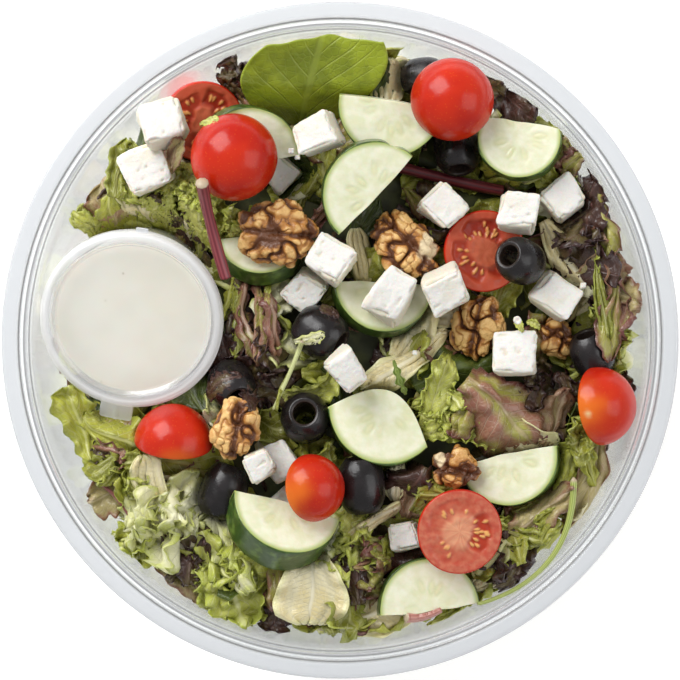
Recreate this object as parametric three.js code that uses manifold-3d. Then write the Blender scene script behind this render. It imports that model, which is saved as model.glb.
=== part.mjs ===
// Greek salad in a clear plastic bowl, with a lidded pot of white dressing.
// Millimetres, +Z up. The origin is the centre of the bowl's foot, on the table.
// The bowl holds one solid of packed leaves, and every topping is a solid of its own that is
// lowered until it rests on the leaves or on the toppings placed before it.
import * as THREE from "three";
import { mergeVertices } from "three/addons/utils/BufferGeometryUtils.js";
import Module from "manifold-3d";

const wasm = await Module();
wasm.setup();

// ---- driving sizes ---------------------------------------------------------------------------

const SEGMENTS = 44; // round the bowl and the leaves, so that their facets line up
const GAP = 0.35; // left between pieces that touch

const BOWL = {
  rimRadius: 108,
  height: 66,
  footRadius: 50,
  footInner: 44,
  pushUp: 2, // the middle of the base stands this far off the table
  wallTopRadius: 99.6,
  wallTop: 60,
  wall: 1,
  roundness: 1.6, // how full the wall's curve is
};

const LEAVES = {
  crown: 51.5, // height of the leaves in the middle of the bowl
  edge: 47.5, // and where they meet the wall
  outline: 95,
  floor: 3.7,
  rings: 11,
  sideSteps: 5,
  press: 9.6, // how far round a piece the leaves are pressed down by it
};

const SLIDE = { reach: 3, cost: 0.7 }; // how far a piece may slide, and what height a millimetre is worth

const POT = {
  x: -66.7,
  y: 6.4,
  rimHeight: 62,
  rimRadius: 28.3,
  baseRadius: 20,
  height: 38,
  wall: 1,
  lean: { x: 2.5, y: 12 }, // how far the base stands off to the side of the rim
  lidTop: 1.8,
  skirt: 3.2,
  panel: 2.2, // depth of the lid's sunk panel under the pot's rim
  segments: 24,
};

const SKIN_STEPS = 5;
const TOMATO_SECTORS = 14;
const OLIVE_SECTORS = 9;
const ARC_STEPS = 11;

// ---- toppings: where each one lies, seen from above --------------------------------------------
// x and y are the centre in the bowl. yaw turns a piece about its own axis, and it then tips by
// `tip` degrees towards the bearing `to`, counted anticlockwise from +X. `sit` is the height of its
// lowest point above the leaves there, negative where it is pressed in among them.

const TOMATOES = [
  { name: "tomato_1", x: -41, y: 68.6, r: 13.2, tip: 162, to: 120, sit: -16 },
  { name: "tomato_2", x: -34.4, y: 57.6, r: 14, tip: 8, to: 20, sit: 1 },
  { name: "tomato_3", x: 35.6, y: 76.2, r: 13.3, tip: 6, to: 90, sit: -4 },
  { name: "tomato_4", x: 46.6, y: 28.6, r: 13.2, tip: 170, to: 150, sit: -9 },
  { name: "tomato_5", x: 80.6, y: -20.8, r: 12.6, tip: 58, to: 8, sit: -2 },
  { name: "tomato_6", x: -9.6, y: -47.8, r: 10.9, tip: 44, to: 10, sit: 0 },
  { name: "tomato_7", x: 38.2, y: -61.4, r: 13.6, tip: 173, to: 120, sit: -7 },
  { name: "tomato_8", x: -52.6, y: -34.6, r: 12.7, tip: 68, to: 85, sit: -6 },
];

const OLIVES = [
  { name: "olive_1", x: 57.7, y: 25.4, r: 7.4, length: 17, tip: 36, to: 157, sit: 0 },
  { name: "olive_2", x: 37, y: 58.6, r: 7.5, length: 16, tip: 66, to: 275, sit: -10 },
  { name: "olive_3", x: 27, y: 85, r: 6.4, length: 15, tip: 70, to: 5, sit: -10 },
  { name: "olive_4", x: -6.6, y: 3, r: 8.2, length: 17.6, tip: 72, to: 330, sit: -10 },
  { name: "olive_5", x: -11.2, y: -24.9, r: 8, length: 17, tip: 14, to: 100, sit: -7 },
  { name: "olive_6", x: 7, y: -46.8, r: 7.6, length: 19.5, tip: 84, to: 95, sit: -3 },
  { name: "olive_7", x: -35.7, y: -47.8, r: 7.6, length: 19, tip: 90, to: 70, sit: -4 },
  { name: "olive_8", x: 79.4, y: -3.4, r: 7, length: 16, tip: 70, to: 110, sit: -4 },
  { name: "olive_9", x: -34.6, y: -14.4, r: 7.4, length: 17, tip: 40, to: 300, sit: -5 },
];

const FETA = [
  { name: "feta_1", x: -62.4, y: 55.2, size: [12.8, 12.2, 12], yaw: 24, tip: 6, to: 180, sit: -1 },
  { name: "feta_2", x: -55.4, y: 66.8, size: [11.6, 11.4, 11], yaw: 28, tip: 10, to: 120, sit: -4 },
  { name: "feta_3", x: -6.4, y: 66.4, size: [13.6, 11.6, 11.6], yaw: 25, tip: 12, to: 165, sit: -3 },
  { name: "feta_4", x: -18.2, y: 52.6, size: [11, 11, 10], yaw: 40, tip: 8, to: 200, sit: -14 },
  { name: "feta_5", x: 33.1, y: 42.6, size: [12.4, 12.6, 11], yaw: 47, tip: 4, to: 0, sit: -1 },
  { name: "feta_6", x: 56.8, y: 40.8, size: [13.6, 11.2, 11.5], yaw: -10, tip: 7, to: 80, sit: -2 },
  { name: "feta_7", x: 69.6, y: 47, size: [11, 11.2, 11.2], yaw: 34, tip: 8, to: 100, sit: -2 },
  { name: "feta_8", x: -3.4, y: 26.6, size: [13.4, 12, 12], yaw: -33, tip: 10, to: 110, sit: 0 },
  { name: "feta_9", x: -10.8, y: 17.6, size: [11, 12, 10], yaw: -36, tip: 12, to: 240, sit: -8 },
  { name: "feta_10", x: 15.6, y: 13.7, size: [13, 16, 12.5], yaw: -30, tip: 5, to: 60, sit: 2 },
  { name: "feta_11", x: 33.8, y: 16.6, size: [13, 12.4, 12], yaw: 25, tip: 8, to: 300, sit: -2 },
  { name: "feta_12", x: 67.4, y: 13.4, size: [13, 12.6, 12], yaw: -38, tip: 9, to: 60, sit: -4 },
  { name: "feta_13", x: 1.4, y: -9.4, size: [10.6, 11.2, 10.6], yaw: 34, tip: 16, to: 290, sit: -1 },
  { name: "feta_14", x: 55.8, y: -4.4, size: [14, 13.4, 12], yaw: 2, tip: 10, to: 80, sit: 0 },
  { name: "feta_15", x: -16.6, y: -36.2, size: [11.6, 11.4, 10.5], yaw: 32, tip: 9, to: 120, sit: -8 },
  { name: "feta_16", x: -25.4, y: -40.4, size: [8.4, 8.8, 9], yaw: 30, tip: 8, to: 200, sit: -8 },
  { name: "feta_17", x: -19.6, y: -50.4, size: [9.6, 10, 9.4], yaw: 38, tip: 5, to: 90, sit: -7 },
  { name: "feta_18", x: 22, y: -63.6, size: [9.6, 9.6, 9], yaw: 20, tip: 8, to: 200, sit: -6 },
];

// `arc` is the bearing of the middle of the curved edge, and `cut` how far the straight cut lies
// past the middle of the full slice, negative where more than half of the slice is left.
const CUCUMBERS = [
  { name: "cucumber_1", x: -30.9, y: 61.2, r: 17.3, thick: 6.5, arc: 95, cut: 0, tip: 20, to: 320, sit: -5 },
  { name: "cucumber_2", x: 18, y: 76.6, r: 17, thick: 6.6, arc: -100, cut: 0, tip: 8, to: 260, sit: -5 },
  { name: "cucumber_3", x: 12.3, y: 46.8, r: 16.4, thick: 7, arc: 137, cut: 0, tip: 10, to: 290, sit: -1 },
  { name: "cucumber_4", x: 57.2, y: 64.8, r: 13.4, thick: 8, arc: -99, cut: -4.4, tip: 9, to: 130, sit: -3 },
  { name: "cucumber_5", x: 13.4, y: 17.2, r: 16, thick: 8, arc: -92, cut: 0, tip: 16, to: 60, sit: -7 },
  { name: "cucumber_6", x: 13.1, y: -20.6, r: 16.3, thick: 9, arc: -110, cut: 0, tip: 7, to: 60, sit: -2 },
  { name: "cucumber_7", x: -15.6, y: -54.6, r: 16.6, thick: 11, arc: -112, cut: 0, tip: 30, to: 62, sit: -7 },
  { name: "cucumber_8", x: 28.6, y: -84.8, r: 16.4, thick: 7, arc: 97, cut: 0, tip: 9, to: 20, sit: -3 },
  { name: "cucumber_9", x: 53.2, y: -37, r: 16.2, thick: 8, arc: -78, cut: 0, tip: 10, to: 160, sit: -5 },
  { name: "cucumber_10", x: -25.4, y: 31.4, r: 13.6, thick: 8, arc: -88, cut: 0, tip: 30, to: 90, sit: -9 },
];

const WALNUTS = [
  { name: "walnut_1", x: -20.4, y: 34.6, size: [27.4, 23.6, 13], yaw: -5, tip: 8, to: 240, sit: -1 },
  { name: "walnut_2", x: 21.3, y: 31, size: [27, 20, 12.5], yaw: -45, tip: 16, to: 50, sit: -1 },
  { name: "walnut_3", x: 43.4, y: 3.8, size: [22, 17.6, 11], yaw: 78, tip: 10, to: 160, sit: -8 },
  { name: "walnut_4", x: 69.2, y: -0.6, size: [16, 12.4, 10], yaw: -38, tip: 10, to: 30, sit: -7 },
  { name: "walnut_5", x: -33, y: -28.6, size: [21, 16, 12], yaw: 80, tip: 10, to: 300, sit: -3 },
  { name: "walnut_6", x: 36, y: -40.8, size: [17, 14.6, 10], yaw: -18, tip: 8, to: 200, sit: -4 },
];

const STEMS = [
  { name: "red_stem_1", r: 1.9, from: [-44.8, 53, 18], bend: [-43.4, 42, 3], end: [-37.6, 22.5, 0], sit: 3 },
  { name: "red_stem_2", r: 1.9, from: [16.5, 57.2, 0.6], bend: [36, 51.6, 1.6], end: [53.4, 48.6, 0], sit: -14 },
];

const SPINACH = { name: "spinach_leaf", x: -7, y: 70.4, halfWidth: 23, length: 26.4, thick: 1.2, z: 46, rise: 12 };

// ---- small tools -------------------------------------------------------------------------------

const radians = THREE.MathUtils.degToRad;

// A fixed scatter in -1..1, so that uneven faces come out the same in every build.
function scatter(n) {
  const s = Math.sin(n * 12.9898 + 4.1) * 43758.5453;
  return 2 * (s - Math.floor(s)) - 1;
}

// Turns a profile of [radius, height] pairs about Z.
function lathe(profile, segments) {
  const points = profile.map(([r, z]) => new THREE.Vector2(r, z));
  return new THREE.LatheGeometry(points, segments).rotateX(Math.PI / 2);
}

// Keeps only the positions of a geometry, with shared corners merged.
function welded(geometry) {
  const bare = geometry.index ? geometry.toNonIndexed() : geometry.clone();
  for (const name of Object.keys(bare.attributes)) if (name !== "position") bare.deleteAttribute(name);
  return mergeVertices(bare, 1e-4);
}

function solidOf(geometry) {
  const g = welded(geometry);
  return new wasm.Manifold(
    new wasm.Mesh({
      numProp: 3,
      vertProperties: g.attributes.position.array,
      triVerts: new Uint32Array(g.index.array),
    }),
  );
}

function geometryOf(solid) {
  const mesh = solid.getMesh();
  const g = new THREE.BufferGeometry();
  g.setAttribute("position", new THREE.BufferAttribute(new Float32Array(mesh.vertProperties), 3));
  g.setIndex(new THREE.BufferAttribute(new Uint32Array(mesh.triVerts), 1));
  return g;
}

function material(color, roughness, opacity = 1) {
  return new THREE.MeshStandardMaterial({ color, roughness, metalness: 0, opacity, transparent: opacity < 1 });
}

const FINISH = {
  clear: material(0xe4e8ea, 0.1, 0.35),
  pot: material(0xecedea, 0.25, 0.5),
  dressing: material(0xe7e5d8, 0.45),
  leaves: material(0x74803a, 0.5),
  spinach: material(0x6f7f2c, 0.4),
  stem: material(0x7c3540, 0.4),
  tomato: material(0xc4301c, 0.2),
  olive: material(0x2c2828, 0.3),
  feta: material(0xf3f0e8, 0.7),
  cucumber: material(0xd9dcae, 0.35),
  walnut: material(0xb0743a, 0.6),
};

const salad = new THREE.Group();

function add(name, geometry, finish) {
  const mesh = new THREE.Mesh(geometry, finish);
  mesh.name = name;
  salad.add(mesh);
  return mesh;
}

// Yaw about the piece's own axis, then tip that axis towards a bearing.
function turn(mesh, { yaw = 0, tip = 0, to = 0 }) {
  const bearing = radians(to);
  const hinge = new THREE.Vector3(-Math.sin(bearing), Math.cos(bearing), 0);
  const tipped = new THREE.Quaternion().setFromAxisAngle(hinge, radians(tip));
  const yawed = new THREE.Quaternion().setFromAxisAngle(new THREE.Vector3(0, 0, 1), radians(yaw));
  mesh.quaternion.copy(tipped.multiply(yawed));
}

// ---- the bowl ----------------------------------------------------------------------------------

// Outer radius of the wall at a height: it leaves the foot flat and ends upright under the rim.
function wallRadius(z) {
  const rest = 1 - Math.min(1, Math.max(0, z / BOWL.wallTop));
  const share = Math.pow(1 - rest * rest, 1 / BOWL.roundness);
  return BOWL.footRadius + (BOWL.wallTopRadius - BOWL.footRadius) * share;
}

const WALL_HEIGHTS = [0.7, 3, 9, 19, 35, BOWL.wallTop];

function outerWall() {
  return WALL_HEIGHTS.map((z) => [wallRadius(z), z]);
}

// The outer wall moved in along its own normal by the wall's thickness.
function innerWall() {
  return outerWall().map(([r, z], i, all) => {
    const [r0, z0] = all[Math.max(0, i - 1)];
    const [r1, z1] = all[Math.min(all.length - 1, i + 1)];
    const long = Math.hypot(r1 - r0, z1 - z0);
    return [r - (BOWL.wall * (z1 - z0)) / long, z + (BOWL.wall * (r1 - r0)) / long];
  });
}

// Inner radius of the wall at a height, between the points of its profile.
function roomAt(z) {
  const wall = innerWall();
  for (let i = 1; i < wall.length; i++) {
    const [r0, z0] = wall[i - 1];
    const [r1, z1] = wall[i];
    if (z <= z1) return r0 + ((r1 - r0) * Math.max(0, z - z0)) / (z1 - z0);
  }
  return wall[wall.length - 1][0];
}

function bowl() {
  const { wallTopRadius: r, height: h, wall: t, rimRadius: rim, footInner, footRadius, pushUp } = BOWL;
  const step = r + 1; // the ledge that a lid's bead snaps over
  const ridge = r + 2.6;
  const flange = r + 3.6;
  const rimOuter = [
    [step + 0.2, h - 2.8],
    [ridge - 0.3, h - 2.8],
    [ridge + 0.3, h - 1.2],
    [rim - 1.1, h - 1.2],
    [rim - 0.8, h - 4],
    [rim, h - 4],
    [rim, h - 0.6],
    [flange, h],
    [ridge - 0.7, h - 1.7],
    [step - 0.9, h - 1.8],
  ];
  const base = [
    [0, pushUp],
    [footInner - 3, pushUp],
    [footInner, 0],
    [footRadius - 1, 0],
  ];
  const floor = [
    [footRadius - 0.6, t + 0.35],
    [footInner + 0.4, t],
    [footInner - 2.6, pushUp + t],
    [0, pushUp + t],
  ];
  return lathe([...base, ...outerWall(), ...rimOuter, ...innerWall().reverse(), ...floor], SEGMENTS);
}

// ---- the pot of dressing -----------------------------------------------------------------------

// Radius inside the pot at a depth under its rim.
function potInside(depth) {
  const top = POT.rimRadius - 1.6 - POT.wall;
  const foot = POT.baseRadius - POT.wall;
  return top + ((foot - top) * depth) / (POT.height - POT.wall);
}

function pot() {
  const { rimRadius: r, baseRadius: b, height: h, wall: t } = POT;
  return lathe(
    [
      [0, -h],
      [b - 1, -h],
      [b, -h + 1],
      [r - 1.7, -2.2],
      [r - 0.2, -2.2],
      [r, -1.2],
      [r - 0.4, -0.1],
      [r - 1.6, 0],
      [potInside(1), -1],
      [potInside(h - t), -h + t],
      [0, -h + t],
    ],
    POT.segments,
  );
}

// A snap-on lid: a sunk panel, a round bead over the pot's rim, a skirt, and a pull tab.
function lid() {
  const { rimRadius: r, lidTop, skirt, panel } = POT;
  const thick = 0.8;
  const inner = r - 3.2;
  const outside = r + GAP + thick;
  const shell = lathe(
    [
      [0, -panel - thick],
      [inner - 0.4, -panel - thick],
      [inner, -panel - 0.2],
      [inner + 0.5, GAP],
      [r - 0.2, GAP],
      [r + GAP, -0.6],
      [r + GAP, -skirt],
      [outside, -skirt],
      [outside, 0.5],
      [outside - 0.9, lidTop - 0.3],
      [outside - 2, lidTop],
      [inner + 0.3, lidTop - 0.5],
      [inner - 0.9, -panel + 0.2],
      [inner - 1.6, -panel],
      [0, -panel],
    ],
    POT.segments,
  );
  const tab = new THREE.BoxGeometry(10.6, 7.4, thick)
    .rotateX(radians(18))
    .translate(0, -(outside + 2.6), -skirt + 0.1)
    .rotateZ(radians(-11));
  return geometryOf(solidOf(shell).add(solidOf(tab)));
}

function dressing() {
  const top = -POT.panel - 0.8 - GAP;
  const foot = -POT.height + POT.wall + GAP;
  return lathe(
    [
      [0, foot],
      [potInside(-foot) - GAP, foot],
      [potInside(-top) - GAP, top],
      [0, top],
    ],
    POT.segments,
  );
}

function placePot(mesh) {
  const { x, y, rimHeight, lean } = POT;
  turn(mesh, {
    tip: THREE.MathUtils.radToDeg(Math.asin(Math.hypot(lean.x, lean.y) / POT.height)),
    to: THREE.MathUtils.radToDeg(Math.atan2(-lean.y, -lean.x)),
  });
  mesh.position.set(x, y, rimHeight);
}

// ---- shapes of the toppings --------------------------------------------------------------------

// Half a cherry tomato: a dome of skin on a flat cut face.
function halfTomato({ r }) {
  const profile = [
    [0, 0],
    [r * 0.97, 0],
  ];
  for (let i = 0; i <= SKIN_STEPS; i++) {
    const a = (Math.PI / 2) * (i / SKIN_STEPS);
    profile.push([i === SKIN_STEPS ? 0 : r * Math.cos(a), 0.6 + (r * 1.02 - 0.6) * Math.sin(a)]);
  }
  return lathe(profile, TOMATO_SECTORS);
}

// A pitted olive: a barrel whose stone has been pushed out through both ends.
function olive({ r, length }) {
  const half = length / 2;
  const mouth = r * 0.46;
  const profile = [
    [mouth, -half * 0.9],
    [r * 0.66, -half * 0.84],
    [r * 0.93, -half * 0.5],
    [r, 0],
    [r * 0.93, half * 0.5],
    [r * 0.7, half * 0.86],
    [mouth, half * 0.92],
    [mouth, -half * 0.9],
  ];
  return lathe(profile, OLIVE_SECTORS);
}

// A crumbly cube, cut by hand: every corner is a little off square and the edges are worn.
function feta({ size }, seed) {
  const box = new THREE.BoxGeometry(...size, 2, 2, 2);
  const g = welded(box);
  const at = g.attributes.position;
  for (let i = 0; i < at.count; i++) {
    const p = new THREE.Vector3().fromBufferAttribute(at, i);
    const sides = ["x", "y", "z"].filter((k) => Math.abs(p[k]) > 0.1).length;
    p.multiplyScalar([1, 1, 0.975, 0.95][sides]);
    const wear = sides === 3 ? 0.45 : 0.15;
    p.x += wear * scatter(seed * 91 + i * 3);
    p.y += wear * scatter(seed * 91 + i * 3 + 1);
    p.z += wear * scatter(seed * 91 + i * 3 + 2);
    at.setXYZ(i, p.x, p.y, p.z);
  }
  return g;
}

// Part of a cucumber slice: a round edge of skin and a straight cut.
function cucumber({ r, thick, arc, cut }) {
  const half = Math.acos(cut / r);
  const middle = radians(arc);
  const outline = new THREE.Shape();
  for (let i = 0; i <= ARC_STEPS; i++) {
    const a = middle - half + (2 * half * i) / ARC_STEPS;
    const point = [r * Math.cos(a), r * Math.sin(a)];
    if (i === 0) outline.moveTo(...point);
    else outline.lineTo(...point);
  }
  outline.closePath();
  const g = new THREE.ExtrudeGeometry(outline, { depth: thick, bevelEnabled: false });
  return g.translate(0, 0, -thick / 2);
}

// A closed skin round a centre, from a radius that depends on direction.
function globe(sectors, rings, place) {
  const points = [];
  const faces = [];
  for (let j = 1; j < rings; j++) {
    for (let i = 0; i < sectors; i++) {
      points.push(place((2 * Math.PI * i) / sectors, (Math.PI * j) / rings - Math.PI / 2));
    }
  }
  const low = points.push(place(0, -Math.PI / 2)) - 1;
  const high = points.push(place(0, Math.PI / 2)) - 1;
  for (let i = 0; i < sectors; i++) {
    const next = (i + 1) % sectors;
    faces.push(low, next, i);
    for (let j = 0; j < rings - 2; j++) {
      const a = j * sectors;
      const b = a + sectors;
      faces.push(a + i, a + next, b + next, a + i, b + next, b + i);
    }
    const top = (rings - 2) * sectors;
    faces.push(high, top + i, top + next);
  }
  const g = new THREE.BufferGeometry();
  g.setAttribute("position", new THREE.Float32BufferAttribute(points.flat(), 3));
  g.setIndex(faces);
  return g;
}

// Half a walnut kernel: two rows of lobes either side of a groove, with a flatter underside.
function walnut({ size }, seed) {
  const [long, wide, high] = size.map((s) => s / 2);
  const phase = seed * 1.7;
  return globe(14, 7, (around, up) => {
    const lobes = 1 + 0.09 * Math.sin(5 * around + phase) + 0.05 * Math.sin(3 * up + 2 * around + phase);
    const groove = 1 - 0.16 * Math.exp(-Math.pow(Math.sin(around) * 3.2, 2)) * Math.max(0, Math.sin(up));
    const flat = up < 0 ? 0.75 : 1;
    return [
      long * 0.93 * lobes * Math.cos(up) * Math.cos(around),
      wide * 0.93 * lobes * Math.cos(up) * Math.sin(around),
      high * flat * groove * Math.sin(up),
    ];
  });
}

// A leaf stalk: a round section carried along a bend, about its own middle.
function stem({ r, from, bend, end }) {
  const curve = new THREE.QuadraticBezierCurve3(
    new THREE.Vector3(...from),
    new THREE.Vector3(...bend),
    new THREE.Vector3(...end),
  );
  const section = new THREE.Shape();
  for (let i = 0; i < 8; i++) {
    const a = (2 * Math.PI * i) / 8;
    const point = [r * Math.cos(a), r * Math.sin(a)];
    if (i === 0) section.moveTo(...point);
    else section.lineTo(...point);
  }
  section.closePath();
  return new THREE.ExtrudeGeometry(section, { steps: 6, bevelEnabled: false, extrudePath: curve });
}

// Height of the spinach leaf over its foot: the blade lies back on the wall and its lower part
// folds down among the leaves, with a shallow trough along the midrib.
function spinachHeight(u, v) {
  const fold = v < 0.35 ? -9 * Math.pow((0.35 - v) / 0.35, 2) : 0;
  return SPINACH.rise * Math.pow(v, 0.8) + 2.2 * u * u * (0.4 + v) + fold + 4;
}

function spinachLeaf() {
  const across = 8;
  const along = 6;
  const points = [];
  const faces = [];
  for (const lift of [0, SPINACH.thick]) {
    for (let j = 0; j <= along; j++) {
      for (let i = 0; i <= across; i++) {
        const u = (2 * i) / across - 1;
        const v = j / along;
        const width = SPINACH.halfWidth * Math.pow(Math.sin(Math.PI * (0.1 + 0.74 * v)), 0.8);
        const z = spinachHeight(u, v) + lift;
        points.push([u * width - 6 * (1 - v), SPINACH.length * v - 4.5 * u * u * v, z]);
      }
    }
  }
  const row = across + 1;
  const sheet = row * (along + 1);
  for (let j = 0; j < along; j++) {
    for (let i = 0; i < across; i++) {
      const a = j * row + i;
      const b = a + row;
      faces.push(a, b, a + 1, a + 1, b, b + 1);
      faces.push(a + sheet, a + 1 + sheet, b + sheet, a + 1 + sheet, b + 1 + sheet, b + sheet);
    }
  }
  const rim = [];
  for (let i = 0; i < across; i++) rim.push(i);
  for (let j = 0; j < along; j++) rim.push(j * row + across);
  for (let i = across; i > 0; i--) rim.push(along * row + i);
  for (let j = along; j > 0; j--) rim.push(j * row);
  rim.forEach((a, k) => {
    const b = rim[(k + 1) % rim.length];
    faces.push(a, b, b + sheet, a, b + sheet, a + sheet);
  });
  const g = new THREE.BufferGeometry();
  g.setAttribute("position", new THREE.Float32BufferAttribute(points.flat(), 3));
  g.setIndex(faces);
  return g;
}

// ---- how the pieces rest on each other ---------------------------------------------------------
// Three maps of the bowl seen from above, in squares of one millimetre: the top of what has been
// placed, the lowest underside over each square, and how high the loose leaves come.

const REACH = 110;
const SIDE = 2 * REACH;
const tops = new Float32Array(SIDE * SIDE).map((_, square) => {
  const x = (square % SIDE) + 0.5 - REACH;
  const y = Math.floor(square / SIDE) + 0.5 - REACH;
  return Math.hypot(x, y) < BOWL.wallTopRadius - 5 ? -Infinity : 2 * BOWL.height; // the wall
});
const undersides = new Float32Array(SIDE * SIDE).fill(Infinity);

function leafHeight(x, y) {
  const share = Math.hypot(x, y) / LEAVES.outline;
  const lumps = 1.3 * Math.sin(x / 8 + 1.3) * Math.cos(y / 9 + 0.4) + 0.9 * Math.sin((x + y) / 5.5);
  return LEAVES.edge + (LEAVES.crown - LEAVES.edge) * (1 - share * share) + lumps;
}

// Calls visit(square, height) for every square whose middle lies under or over a triangle.
function overEachSquare(mesh, visit) {
  mesh.updateMatrixWorld(true);
  const g = welded(mesh.geometry).applyMatrix4(mesh.matrixWorld);
  const at = g.attributes.position;
  const corner = [new THREE.Vector3(), new THREE.Vector3(), new THREE.Vector3()];
  for (let f = 0; f < g.index.count; f += 3) {
    corner.forEach((c, k) => c.fromBufferAttribute(at, g.index.getX(f + k)));
    const [a, b, c] = corner;
    const area = (b.x - a.x) * (c.y - a.y) - (c.x - a.x) * (b.y - a.y);
    if (Math.abs(area) < 1e-6) continue;
    const x0 = Math.ceil(Math.min(a.x, b.x, c.x) + REACH - 0.5);
    const x1 = Math.floor(Math.max(a.x, b.x, c.x) + REACH - 0.5);
    const y0 = Math.ceil(Math.min(a.y, b.y, c.y) + REACH - 0.5);
    const y1 = Math.floor(Math.max(a.y, b.y, c.y) + REACH - 0.5);
    for (let iy = y0; iy <= y1; iy++) {
      for (let ix = x0; ix <= x1; ix++) {
        const px = ix + 0.5 - REACH;
        const py = iy + 0.5 - REACH;
        const wb = ((px - a.x) * (c.y - a.y) - (c.x - a.x) * (py - a.y)) / area;
        const wc = ((b.x - a.x) * (py - a.y) - (px - a.x) * (b.y - a.y)) / area;
        if (wb >= 0 && wc >= 0 && wb + wc <= 1) {
          visit(iy * SIDE + ix, a.z + wb * (b.z - a.z) + wc * (c.z - a.z));
        }
      }
    }
  }
}

// Marks a placed piece on the maps. Its top is marked one square wider all round.
function settle(mesh) {
  overEachSquare(mesh, (square, z) => {
    undersides[square] = Math.min(undersides[square], z);
    for (const row of [-SIDE, 0, SIDE]) {
      for (const column of [-1, 0, 1]) {
        const near = square + row + column;
        tops[near] = Math.max(tops[near], z);
      }
    }
  });
}

// Lowers a piece until it rests, then marks it on the maps. It slides a little way aside first,
// where that lets it lie deeper.
function lower(mesh, x, y, sit) {
  mesh.position.set(x, y, 0);
  const under = new Map();
  overEachSquare(mesh, (square, z) => under.set(square, Math.min(under.get(square) ?? Infinity, z)));
  const wanted = leafHeight(x, y) + sit - Math.min(...under.values());
  const best = { cost: Infinity };
  for (let dy = -SLIDE.reach; dy <= SLIDE.reach; dy++) {
    for (let dx = -SLIDE.reach; dx <= SLIDE.reach; dx++) {
      let z = wanted;
      for (const [square, low] of under) z = Math.max(z, tops[square + dy * SIDE + dx] + GAP - low);
      const cost = z + SLIDE.cost * Math.hypot(dx, dy);
      if (cost < best.cost) Object.assign(best, { cost, dx, dy, z });
    }
  }
  mesh.position.set(x + best.dx, y + best.dy, best.z);
  settle(mesh);
}

// Lowest underside within a distance of a point.
function ceilingOver(x, y, around) {
  let low = Infinity;
  const reach = Math.ceil(around);
  for (let dy = -reach; dy <= reach; dy++) {
    for (let dx = -reach; dx <= reach; dx++) {
      if (dx * dx + dy * dy > around * around) continue;
      const ix = Math.floor(x + REACH) + dx;
      const iy = Math.floor(y + REACH) + dy;
      low = Math.min(low, undersides[iy * SIDE + ix] ?? Infinity);
    }
  }
  return low;
}

// ---- the leaves --------------------------------------------------------------------------------

// How far out the leaves come at each bearing.
function leafOutline(bearing) {
  return LEAVES.outline + 1.8 * Math.sin(5 * bearing + 0.6) + 1.1 * Math.sin(11 * bearing + 2);
}

// The packed leaves as one solid: an uneven top, pressed down wherever a piece lies on it, and
// sides that follow the bowl.
function leaves() {
  const { rings, sideSteps, floor, press } = LEAVES;
  const points = [[0, 0, topAt(0, 0)]];
  const faces = [];
  const rows = [];

  function topAt(x, y) {
    return Math.min(leafHeight(x, y), ceilingOver(x, y, press) - 2 * GAP);
  }

  function row(place) {
    const start = points.length;
    for (let i = 0; i < SEGMENTS; i++) points.push(place((2 * Math.PI * i) / SEGMENTS));
    rows.push(start);
  }

  for (let k = 1; k <= rings; k++) {
    row((a) => {
      const r = leafOutline(a) * (k / rings);
      const z = topAt(r * Math.sin(a), r * Math.cos(a));
      const room = Math.min(r, roomAt(z) - 2 * GAP);
      return [room * Math.sin(a), room * Math.cos(a), z];
    });
  }
  for (let k = 1; k <= sideSteps; k++) {
    row((a) => {
      const top = topAt(leafOutline(a) * Math.sin(a), leafOutline(a) * Math.cos(a));
      const z = floor + (top - floor) * Math.pow(1 - k / sideSteps, 1.5);
      const r = Math.min(leafOutline(a), roomAt(z) - 2 * GAP);
      return [r * Math.sin(a), r * Math.cos(a), z];
    });
  }
  const bottom = points.push([0, 0, floor]) - 1;
  for (let i = 0; i < SEGMENTS; i++) {
    const next = (i + 1) % SEGMENTS;
    faces.push(0, rows[0] + next, rows[0] + i);
    for (let k = 1; k < rows.length; k++) {
      const a = rows[k - 1];
      const b = rows[k];
      faces.push(a + i, a + next, b + next, a + i, b + next, b + i);
    }
    const last = rows[rows.length - 1];
    faces.push(bottom, last + i, last + next);
  }
  const g = new THREE.BufferGeometry();
  g.setAttribute("position", new THREE.Float32BufferAttribute(points.flat(), 3));
  g.setIndex(faces);
  return g;
}

// ---- build -------------------------------------------------------------------------------------

add("bowl", bowl(), FINISH.clear);

for (const mesh of [
  add("dressing_pot", pot(), FINISH.pot),
  add("pot_lid", lid(), FINISH.pot),
  add("dressing", dressing(), FINISH.dressing),
]) {
  placePot(mesh);
  settle(mesh);
}

const kinds = [
  [TOMATOES, halfTomato, FINISH.tomato],
  [OLIVES, olive, FINISH.olive],
  [FETA, feta, FINISH.feta],
  [CUCUMBERS, cucumber, FINISH.cucumber],
  [WALNUTS, walnut, FINISH.walnut],
];
const toppings = new Map();
for (const [items, shape, finish] of kinds) {
  items.forEach((item, seed) => toppings.set(item.name, { item, finish, geometry: () => shape(item, seed + 1) }));
}
for (const item of STEMS) {
  toppings.set(item.name, { item: { ...item, x: 0, y: 0 }, finish: FINISH.stem, geometry: () => stem(item) });
}

const spinach = add(SPINACH.name, spinachLeaf(), FINISH.spinach);
spinach.position.set(SPINACH.x, SPINACH.y, SPINACH.z);
settle(spinach);

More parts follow.
